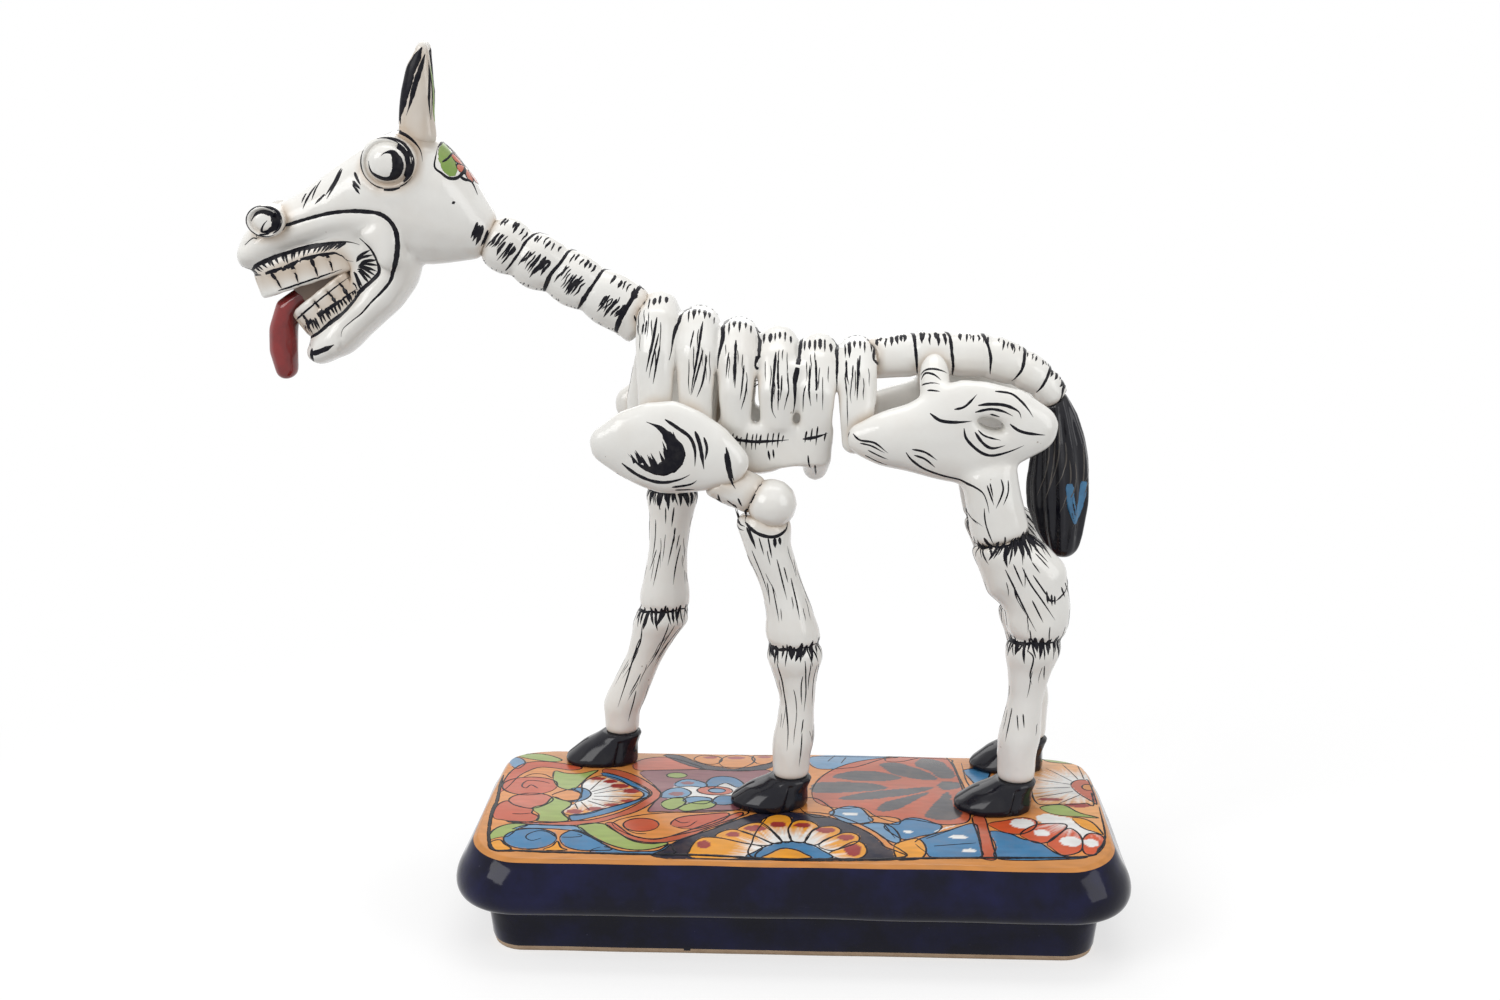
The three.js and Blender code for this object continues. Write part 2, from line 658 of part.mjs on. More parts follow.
const jawSteps = [
  [-0.327, -0.044, 0.9, 1],
  [-0.363, -0.133, 1.05, 1],
  [-0.407, -0.204, 1.03, 1],
  [-0.482, -0.274, 1, 1],
  [-0.566, -0.354, 0.94, 0.93],
  [-0.655, -0.425, 0.92, 0.86],
  [-0.726, -0.447, 0.62, 0.66],
];
const jaw = limb(
  jawSteps.map(([x, z, deep, wide]) => fromNape(x, z, jawHalf * deep, jawHalfWidth * wide)),
  { roundTo: 4, spacing: 10 });
add('jaw', seated(jaw, [pieces.skull]), boneGlaze);

// Tooth rows: horseshoes, tilted with the jaws they stand in
function toothRow(length, halfWidth, height) {
  const straight = length - halfWidth;
  const outline = new THREE.Shape();
  outline.moveTo(0, halfWidth);
  outline.lineTo(-straight, halfWidth);
  outline.absarc(-straight, 0, halfWidth, Math.PI / 2, Math.PI * 1.5, false);
  outline.lineTo(0, -halfWidth);
  outline.lineTo(0, -halfWidth + toothRowThick);
  outline.lineTo(-straight, -halfWidth + toothRowThick);
  outline.absarc(-straight, 0, halfWidth - toothRowThick, Math.PI * 1.5, Math.PI / 2, true);
  outline.lineTo(0, halfWidth - toothRowThick);
  outline.closePath();
  return new THREE.ExtrudeGeometry(outline, { depth: height, bevelEnabled: false, curveSegments: 8 });
}

const upperRow = toothRow(upperRowLength, toothRowHalfWidth, toothHeight);
upperRow.rotateY(-THREE.MathUtils.degToRad(18));
upperRow.translate(napeX - headLength * 0.531, midline, napeHeight - headLength * 0.111);
add('upper_teeth', seated(welded(upperRow), [pieces.skull, pieces.jaw]), eyeGlaze);

const lowerRow = toothRow(lowerRowLength, toothRowHalfWidth * 0.92, toothHeight * 1.1);
lowerRow.rotateY(-THREE.MathUtils.degToRad(37));
lowerRow.translate(napeX - headLength * 0.496, midline, napeHeight - headLength * 0.204);
add('lower_teeth', seated(welded(lowerRow), [pieces.jaw, pieces.skull, pieces.upper_teeth]), eyeGlaze);

const mouth = ['jaw', 'skull', 'upper_teeth', 'lower_teeth'].map((n) => pieces[n]);
const tongueSteps = [
  [-0.487, -0.133, 0.375, 0.62],
  [-0.611, -0.177, 0.5, 0.69],
  [-0.726, -0.217, 0.525, 0.88],
  [-0.805, -0.274, 0.65, 1],
  [-0.832, -0.372, 0.725, 1],
  [-0.832, -0.469, 0.688, 0.94],
  [-0.819, -0.544, 0.45, 0.69],
];
const tongue = limb(
  tongueSteps.map(([x, z, deep, wide]) => fromNape(x, z, tongueHalfWidth * deep, tongueHalfWidth * wide)),
  { roundTo: 2.8, spacing: 9, sides: 10 });
add('tongue', seated(tongue, mouth), tongueGlaze);

// Ears: leaf shapes standing on the crown of the skull
function ear(side, way, shiftX) {
  const y = midline + way * skullHalfWidth * 0.48;
  const base = napeHeight + crownRise;
  const rise = earLength + jointGap / 2;
  const outline = [
    [-0.257, 0, 0, 1.1, 0.66],
    [-0.257, 0, 0.19, 1, 0.66],
    [-0.248, 1, 0.45, 0.92, 0.66],
    [-0.239, 1.5, 0.71, 0.74, 0.58],
    [-0.221, 1.5, 0.9, 0.45, 0.39],
    [-0.212, 1.5, 1, 0.21, 0.21],
  ];
  const geometry = limb(outline.map(([x, out, share, deep, wide]) => [
    napeX + headLength * x + shiftX, y + way * out, base + rise * share,
    earHalfWidth * deep, earHalfWidth * wide,
  ]), { roundTo: 1.55, spacing: 10, sides: 10 });
  add(`ear_${side}`, seated(geometry, [pieces.skull]), boneGlaze);
}

ear('left', -1, 0);
ear('right', 1, -4.5);

// A round boss on the skull: an eyeball or a nostril, standing inside a raised ring
function boss(name, radius, ring, rise, at, facing, neighbours) {
  const floor = -radius * 0.7;
  const inner = radius - 2 * ring;
  const points = [
    [0, floor], [radius * 0.8, floor], [radius, 0], [radius - ring * 0.6, ring],
    [inner + ring * 0.2, ring * 0.6], [inner * 0.8, rise * 0.7], [inner * 0.45, rise * 0.94], [0, rise],
  ];
  const geometry = welded(new THREE.LatheGeometry(points.map(([x, y]) => new THREE.Vector2(x, y)), 14));
  geometry.applyQuaternion(new THREE.Quaternion().setFromUnitVectors(acrossY, facing.clone().normalize()));
  geometry.translate(napeX + at[0], midline + at[1], napeHeight + at[2]);
  add(name, seated(geometry, neighbours), eyeGlaze);
}

[['left', -1], ['right', 1]].forEach(([side, way]) => {
  const eyeFacing = new THREE.Vector3(-0.12, way, 0.35);
  const eyeAt = [-headLength * 0.354, way * (skullHalfWidth - 1), headLength * 0.288];
  boss(`eye_${side}`, eyeRadius, eyeRing, eyeRise, eyeAt, eyeFacing, [pieces.skull, pieces[`ear_${side}`]]);
  const nostrilFacing = new THREE.Vector3(-0.5, way, 0.75);
  const nostrilAt = [-headLength * 0.827, way * skullHalfWidth * 0.6, headLength * 0.075];
  boss(`nostril_${side}`, nostrilRadius, nostrilRing, 0.8, nostrilAt, nostrilFacing, [pieces.skull]);
});

// The origin is the middle of the model's footprint, on the ground
const extent = new THREE.Box3().setFromObject(group);
const centre = extent.getCenter(new THREE.Vector3());
group.position.set(-centre.x, -centre.y, -extent.min.z);

export default group;
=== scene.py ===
"""A glazed clay horse skeleton on a painted plinth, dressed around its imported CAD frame."""
import math
import random

import bpy
import bmesh
import numpy as np
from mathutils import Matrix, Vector, noise
from mathutils.bvhtree import BVHTree


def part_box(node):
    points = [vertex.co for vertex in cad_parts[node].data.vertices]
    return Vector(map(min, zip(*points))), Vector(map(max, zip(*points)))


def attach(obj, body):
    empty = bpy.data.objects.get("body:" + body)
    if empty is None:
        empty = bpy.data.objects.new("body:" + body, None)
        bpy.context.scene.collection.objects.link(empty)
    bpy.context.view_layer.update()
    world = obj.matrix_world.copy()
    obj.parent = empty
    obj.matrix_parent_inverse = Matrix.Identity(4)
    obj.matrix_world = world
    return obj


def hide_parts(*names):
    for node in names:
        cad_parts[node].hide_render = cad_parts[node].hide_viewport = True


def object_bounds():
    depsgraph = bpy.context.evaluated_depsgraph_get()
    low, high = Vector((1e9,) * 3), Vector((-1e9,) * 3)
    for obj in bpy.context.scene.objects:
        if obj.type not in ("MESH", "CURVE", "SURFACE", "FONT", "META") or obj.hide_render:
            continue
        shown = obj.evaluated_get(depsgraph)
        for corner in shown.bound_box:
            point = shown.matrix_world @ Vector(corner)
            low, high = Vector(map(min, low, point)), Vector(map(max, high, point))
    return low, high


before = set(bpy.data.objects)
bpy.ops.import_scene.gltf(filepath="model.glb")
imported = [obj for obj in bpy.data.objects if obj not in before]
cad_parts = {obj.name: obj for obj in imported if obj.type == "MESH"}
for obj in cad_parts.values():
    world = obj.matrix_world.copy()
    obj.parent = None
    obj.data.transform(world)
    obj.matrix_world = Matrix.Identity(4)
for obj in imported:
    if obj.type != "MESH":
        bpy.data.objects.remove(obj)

cad_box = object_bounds()
MM = 0.001

# The photograph's stand: a white sweep lit by large soft boxes. The camera looks at the horse's left side
# from a little above. Lengths are millimetres from the plinth's middle, at the height of the ground.
plinth_low, plinth_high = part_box("plinth_top")
MIDDLE = np.array([(plinth_low.x + plinth_high.x) / 2, (plinth_low.y + plinth_high.y) / 2, 0.0])


def in_frame(points):
    """Points in millimetres from the plinth's middle, as metres in the frame."""
    return np.asarray(points, float) * MM + MIDDLE


camera_data = bpy.data.cameras.new("photo_camera")
camera_data.lens = 43.2
camera_data.sensor_width = 36.0
camera = bpy.data.objects.new("photo_camera", camera_data)
camera.location = in_frame((12.2, -756.3, 369.1))
camera.rotation_euler = (math.radians(90 - 13.514), 0, math.radians(2.414))
bpy.context.collection.objects.link(camera)
bpy.context.scene.camera = camera
bpy.context.scene.view_settings.view_transform = "Standard"


def soft_box(name, at, size, power):
    """A square soft box that faces the horse."""
    lamp = bpy.data.lights.new(name, "AREA")
    lamp.shape = "RECTANGLE"
    lamp.size, lamp.size_y = size
    lamp.energy = power
    box = bpy.data.objects.new(name, lamp)
    box.location = in_frame(at)
    aim = Vector(in_frame((0, 0, 170))) - box.location
    box.rotation_euler = aim.to_track_quat("-Z", "Y").to_euler()
    bpy.context.collection.objects.link(box)


soft_box("key_box", (-900, -700, 900), (0.7, 0.7), 7.0)
soft_box("fill_box", (1000, -600, 600), (0.6, 0.9), 4.2)
soft_box("top_box", (0, 250, 1300), (1.0, 0.6), 4.2)
soft_box("back_box", (-200, 1100, 700), (0.9, 0.6), 2.0)


def link(tree, source, target):
    tree.links.new(source, target)


def add_node(tree, kind, inputs=None, **settings):
    """A node with its settings, and its inputs given as values or as sockets to join."""
    made = tree.nodes.new(kind)
    for key, value in settings.items():
        setattr(made, key, value)
    for key, value in (inputs or {}).items():
        if isinstance(value, bpy.types.NodeSocket):
            tree.links.new(value, made.inputs[key])
        else:
            made.inputs[key].default_value = value
    return made


def new_material(name):
    """A material with an empty node tree but for its output and Principled shader."""
    material = bpy.data.materials.new(name)
    material.use_nodes = True
    tree = material.node_tree
    return material, tree, tree.nodes["Principled BSDF"]


world = bpy.data.worlds.new("white_studio")
world.use_nodes = True
bpy.context.scene.world = world
sky = world.node_tree


def backdrop_seen(tree):
    """1 where a camera, glossy or transmission ray looks at the backdrop, and 0 where it lights the horse."""
    path = add_node(tree, "ShaderNodeLightPath")
    direct = add_node(tree, "ShaderNodeMath", {0: path.outputs["Is Camera Ray"], 1: path.outputs["Is Glossy Ray"]},
                      operation="MAXIMUM")
    through = add_node(tree, "ShaderNodeMath", {0: direct.outputs[0], 1: path.outputs["Is Transmission Ray"]},
                       operation="MAXIMUM")
    return through.outputs[0]


strength = add_node(sky, "ShaderNodeMapRange", {"Value": backdrop_seen(sky), "To Min": 0.52, "To Max": 1.0})
sky.nodes["Background"].inputs["Color"].default_value = (1, 1, 1, 1)
link(sky, strength.outputs["Result"], sky.nodes["Background"].inputs["Strength"])

floor_mesh = bpy.data.meshes.new("sweep_floor")
REACH = 6.0
floor_mesh.from_pydata([(-REACH, -REACH, 0), (REACH, -REACH, 0), (REACH, REACH, 0), (-REACH, REACH, 0)], [],
                       [(0, 1, 2, 3)])
floor = bpy.data.objects.new("sweep_floor", floor_mesh)
bpy.context.collection.objects.link(floor)
floor_paint, tree, shader = new_material("white_sweep")
shader.inputs["Base Color"].default_value = (0.42, 0.42, 0.42, 1)
shader.inputs["Specular IOR Level"].default_value = 0.0
paper = add_node(tree, "ShaderNodeTexNoise", {"Scale": 40.0, "Detail": 3.0})
tone = add_node(tree, "ShaderNodeMapRange", {"Value": paper.outputs["Fac"], "To Min": 0.7, "To Max": 0.8})
link(tree, tone.outputs["Result"], shader.inputs["Roughness"])
seen = backdrop_seen(tree)
lift = add_node(tree, "ShaderNodeEmission", {"Color": (1, 1, 1, 1)})
lift_strength = add_node(tree, "ShaderNodeMath", {0: seen, 1: 0.6}, operation="MULTIPLY")
link(tree, lift_strength.outputs[0], lift.inputs["Strength"])
near_horse = add_node(tree, "ShaderNodeAddShader", {0: shader.outputs[0], 1: lift.outputs[0]})
white = add_node(tree, "ShaderNodeEmission", {"Color": (1, 1, 1, 1), "Strength": 1.0})
place = add_node(tree, "ShaderNodeTexCoord").outputs["Object"]
away = add_node(tree, "ShaderNodeVectorMath", {0: place, 1: tuple(MIDDLE)}, operation="DISTANCE")
fade = add_node(tree, "ShaderNodeMapRange", {"Value": away.outputs["Value"], "From Min": 0.22, "From Max": 0.5},
                interpolation_type="SMOOTHSTEP")
fade_seen = add_node(tree, "ShaderNodeMath", {0: fade.outputs["Result"], 1: seen}, operation="MULTIPLY")
sweep = add_node(tree, "ShaderNodeMixShader", {0: fade_seen.outputs[0], 1: near_horse.outputs[0],
                                               2: white.outputs[0]})
link(tree, sweep.outputs[0], tree.nodes["Material Output"].inputs["Surface"])
floor.data.materials.append(floor_paint)

# Glaze: one fired coat over the clay. It thins in random patches, is darkened towards its thin colour as painted
# shade where the form is crowded, is specked by the clay under it, and dries with a fine orange peel. Every glazed
# piece below uses this group with its own amounts.
fired = bpy.data.node_groups.new("fired_glaze", "ShaderNodeTree")
for label, kind, value in (("Thick", "NodeSocketColor", (0.8, 0.8, 0.8, 1)),
                           ("Thin", "NodeSocketColor", (0.6, 0.5, 0.4, 1)),
                           ("Speck", "NodeSocketColor", (0.2, 0.12, 0.06, 1)),
                           ("Pooling", "NodeSocketFloat", 0.0), ("Mottle Size", "NodeSocketFloat", 0.012),
                           ("Mottle", "NodeSocketFloat", 0.3), ("Specks", "NodeSocketFloat", 0.5),
                           ("Gloss", "NodeSocketFloat", 0.12), ("Peel", "NodeSocketFloat", 1.0)):
    socket = fired.interface.new_socket(label, in_out="INPUT", socket_type=kind)
    socket.default_value = value
fired.interface.new_socket("Color", in_out="OUTPUT", socket_type="NodeSocketColor")
fired.interface.new_socket("Roughness", in_out="OUTPUT", socket_type="NodeSocketFloat")
fired.interface.new_socket("Height", in_out="OUTPUT", socket_type="NodeSocketFloat")
given = add_node(fired, "NodeGroupInput")
where = add_node(fired, "ShaderNodeTexCoord").outputs["Object"]
per_metre = add_node(fired, "ShaderNodeMath", {0: 1.0, 1: given.outputs["Mottle Size"]}, operation="DIVIDE")
cloud = add_node(fired, "ShaderNodeTexNoise", {"Vector": where, "Scale": per_metre.outputs[0], "Detail": 4.0,
                                               "Roughness": 0.55})
cloudy = add_node(fired, "ShaderNodeMapRange", {"Value": cloud.outputs["Fac"], "From Min": 0.42, "From Max": 0.72})
thin = add_node(fired, "ShaderNodeMath", {0: cloudy.outputs["Result"], 1: given.outputs["Mottle"]},
                operation="MULTIPLY")
# Painted shade: the crowded-form attribute adds to the random thinning, darkening hollows and places between parts.
thin_and_shaded = add_node(fired, "ShaderNodeMath", {0: thin.outputs[0], 1: given.outputs["Pooling"]}, operation="ADD",
                   use_clamp=True)
coat = add_node(fired, "ShaderNodeMix", {"Factor": thin_and_shaded.outputs[0]}, data_type="RGBA")
link(fired, given.outputs["Thick"], coat.inputs[6])
link(fired, given.outputs["Thin"], coat.inputs[7])
grit = add_node(fired, "ShaderNodeTexVoronoi", {"Vector": where, "Scale": 260.0, "Randomness": 1.0})
grit_size = add_node(fired, "ShaderNodeTexWhiteNoise", {"Vector": grit.outputs["Position"]})
grit_rare = add_node(fired, "ShaderNodeMapRange", {"Value": grit_size.outputs["Value"], "From Min": 0.93,
                                                   "From Max": 1.0, "To Min": 0.0, "To Max": 0.16})
grit_dot = add_node(fired, "ShaderNodeMath", {0: grit.outputs["Distance"], 1: grit_rare.outputs["Result"]},
                    operation="LESS_THAN")
grit_amount = add_node(fired, "ShaderNodeMath", {0: grit_dot.outputs[0], 1: given.outputs["Specks"]},
                       operation="MULTIPLY")
specked = add_node(fired, "ShaderNodeMix", {"Factor": grit_amount.outputs[0]}, data_type="RGBA")
link(fired, coat.outputs[2], specked.inputs[6])
link(fired, given.outputs["Speck"], specked.inputs[7])
satin = add_node(fired, "ShaderNodeTexNoise", {"Vector": where, "Scale": 90.0, "Detail": 3.0})
satin_range = add_node(fired, "ShaderNodeMapRange", {"Value": satin.outputs["Fac"], "From Min": 0.3, "From Max": 0.7,
                                                     "To Min": 0.0, "To Max": 0.1})
roughness = add_node(fired, "ShaderNodeMath", {0: satin_range.outputs["Result"], 1: given.outputs["Gloss"]},
                     operation="ADD")
swell_noise = add_node(fired, "ShaderNodeTexNoise", {"Vector": where, "Scale": 110.0, "Detail": 2.0})
peel_noise = add_node(fired, "ShaderNodeTexNoise", {"Vector": where, "Scale": 900.0, "Detail": 1.0})
peel = add_node(fired, "ShaderNodeMath", {0: peel_noise.outputs["Fac"], 1: 0.05}, operation="MULTIPLY")
relief = add_node(fired, "ShaderNodeMath", {0: swell_noise.outputs["Fac"], 1: peel.outputs[0]}, operation="ADD")
height = add_node(fired, "ShaderNodeMath", {0: relief.outputs[0], 1: given.outputs["Peel"]}, operation="MULTIPLY")
result = add_node(fired, "NodeGroupOutput")
link(fired, specked.outputs[2], result.inputs["Color"])
link(fired, roughness.outputs[0], result.inputs["Roughness"])
link(fired, height.outputs[0], result.inputs["Height"])


def glazed(name, thick, thin_color, speck=(0.2, 0.12, 0.06), crevice_shade="crevice_shade", relief_mm=0.25, color_from=None,
           shine=0.5, **amounts):
    """A glaze material, darkened towards its thin colour as painted shade where an attribute marks the form crowded."""
    material, tree, shader = new_material(name)
    shader.inputs["Specular IOR Level"].default_value = shine
    coat_group = add_node(tree, "ShaderNodeGroup", node_tree=fired)
    if color_from is None:
        coat_group.inputs["Thick"].default_value = (*thick, 1)
        coat_group.inputs["Thin"].default_value = (*thin_color, 1)
    else:
        painted = add_node(tree, "ShaderNodeAttribute", attribute_name=color_from)
        darker = add_node(tree, "ShaderNodeMix", {"Factor": 0.25, 7: (*thin_color, 1)}, data_type="RGBA")
        link(tree, painted.outputs["Color"], darker.inputs[6])
        link(tree, painted.outputs["Color"], coat_group.inputs["Thick"])
        link(tree, darker.outputs[2], coat_group.inputs["Thin"])
    coat_group.inputs["Speck"].default_value = (*speck, 1)
    for key, value in amounts.items():
        coat_group.inputs[key.replace("_", " ").title()].default_value = value
    if crevice_shade:
        crevice_shade_node = add_node(tree, "ShaderNodeAttribute", attribute_name=crevice_shade)
        link(tree, crevice_shade_node.outputs["Fac"], coat_group.inputs["Pooling"])
    bump = add_node(tree, "ShaderNodeBump", {"Strength": 0.6, "Distance": relief_mm * MM,
                                             "Height": coat_group.outputs["Height"]})
    link(tree, coat_group.outputs["Color"], shader.inputs["Base Color"])
    link(tree, coat_group.outputs["Roughness"], shader.inputs["Roughness"])
    link(tree, bump.outputs["Normal"], shader.inputs["Normal"])
    return material


# Plinth cover: a pressed slab with a rolled skirt, its top crowned a little. The skirt is dipped navy, and the top
# is painted in bright glazes with flowers, leaves and scrolls inside an orange band, each outlined in black.
PLINTH = dict(length=290.0, width=140.0, height=46.0, crown=5.0, corner=30.0, foot=22.0, skirt_inset=10.0)
TOP_INSET, BAND_INSET = 9.6, 7.9
navy = glazed("navy_glaze", (0.003, 0.003, 0.015), (0.008, 0.009, 0.054), speck=(0.2, 0.2, 0.3), crevice_shade=None,
              mottle_size=0.02, mottle=0.9, specks=0.12, gloss=0.05, peel=1.3, shine=0.2)
bare_clay = glazed("bare_fired_clay", (0.60, 0.43, 0.29), (0.45, 0.30, 0.19), crevice_shade=None, mottle_size=0.006,
                   mottle=0.7, specks=0.9, gloss=0.65, peel=3.0)
painted = glazed("painted_glaze", None, (0.35, 0.22, 0.14), color_from="painting", crevice_shade=None, mottle_size=0.008,
                 mottle=0.55, specks=0.35, gloss=0.14, peel=0.8, shine=0.16)


def hand_wobble(points, size, amount, seed=0.0):
    """Moves points a little, as a hand-pressed form is never true. Size and amount in millimetres."""
    shift = [noise.noise_vector(Vector((x / size + seed, y / size, z / size))) for x, y, z in points]
    return np.asarray(points) + np.array(shift) * amount


def crown_height(y):
    """Height of the plinth's crowned top at a distance from its long middle line."""
    out = np.minimum(1.0, np.abs(y) / (PLINTH["width"] / 2 - PLINTH["skirt_inset"]))
    return PLINTH["height"] + PLINTH["crown"] * (1 - out * out)


def smooth_line(knots, steps, closed=False):
    """A Catmull-Rom line through points."""
    knots = np.asarray(knots, float)
    if closed:
        padded = np.vstack([knots[-1], knots, knots[0], knots[1]])
    else:
        padded = np.vstack([2 * knots[0] - knots[1], knots, 2 * knots[-1] - knots[-2]])
    t = (np.arange(steps) / steps)[:, None]
    parts = []
    for i in range(len(padded) - 3):
        p0, p1, p2, p3 = padded[i:i + 4]
        parts.append(0.5 * (2 * p1 + (p2 - p0) * t + (2 * p0 - 5 * p1 + 4 * p2 - p3) * t ** 2
                            + (3 * p1 - p0 - 3 * p2 + p3) * t ** 3))
    return np.vstack(parts if closed else parts + [knots[-1:]])


# The top is one grid whose rows end on the rounded corners, and the skirt's rings go on from its rim.
half_x, half_y = PLINTH["length"] / 2 - TOP_INSET, PLINTH["width"] / 2 - TOP_INSET
corner = PLINTH["corner"] - TOP_INSET
turns = np.linspace(0, math.pi / 2, 38)
bend_y = half_y - corner + corner * np.sin(turns)
row_y = np.concatenate([-bend_y[::-1], np.linspace(-(half_y - corner), half_y - corner, 102)[1:-1], bend_y])
row_turn = np.concatenate([-turns[::-1], np.zeros(100), turns])
row_x = half_x - corner + corner * np.cos(row_turn)
across = 330
grid_x = np.linspace(-1, 1, across + 1)[None, :] * row_x[:, None]
grid_y = np.repeat(row_y[:, None], across + 1, axis=1)
rows = len(row_y)
points = np.stack([grid_x, grid_y, crown_height(grid_y)], axis=2).reshape(-1, 3)
index = np.arange(rows * (across + 1)).reshape(rows, across + 1)
faces = np.stack([index[:-1, :-1], index[:-1, 1:], index[1:, 1:], index[1:, :-1]], axis=2).reshape(-1, 4).tolist()
rim = np.concatenate([index[0, :-1], index[:-1, -1], index[-1, :0:-1], index[:0:-1, 0]])
end_turn = np.stack([np.cos(row_turn), np.sin(row_turn)], axis=1)
outward = np.concatenate([np.tile([0.0, -1.0], (across, 1)), end_turn[:-1], np.tile([0.0, 1.0], (across, 1)),
                          (end_turn * [-1, 1])[:0:-1]])
skirt = smooth_line([(TOP_INSET, 45.9), (8.6, 45.2), (6.6, 43.2), (4.0, 39.8), (1.8, 36.0), (0.5, 32.0), (0.35, 28.0),
                     (1.7, 24.6), (4.2, 22.7), (7.5, 22.1), (13.0, 22.0)], 3)[1:]
inside = [(17.0, 22.2), (19.5, 24.0), (20.0, 38.0)]
levels = np.vstack([skirt, inside])
around = len(rim)
previous = rim
rim_points = points[rim]
rim_drop = PLINTH["height"] + 0.0
all_points, ring_inset = [points], [np.full(len(points), TOP_INSET)]
for inset, z in levels:
    ring = rim_points.copy()
    ring[:, :2] += outward * (TOP_INSET - inset)
    share = np.clip((44.5 - z) / 4.0, 0, 1)
    ring[:, 2] = z + (1 - share) * (rim_points[:, 2] - 46.0 - 0.2) * 0.9
    all_points.append(ring)
    ring_inset.append(np.full(around, inset))
    current = np.arange(around) + sum(len(p) for p in all_points[:-1])
    faces += np.stack([previous, current, np.roll(current, -1), np.roll(previous, -1)], axis=1).tolist()
    previous = current
faces.append(previous.tolist()[::-1])
points = np.vstack(all_points)
ring_inset = np.concatenate(ring_inset)
flat_points = points.copy()
points = hand_wobble(points, 45.0, 0.55)
points[:, :2] = np.clip(points[:, :2], [-144.9, -69.9], [144.9, 69.9])

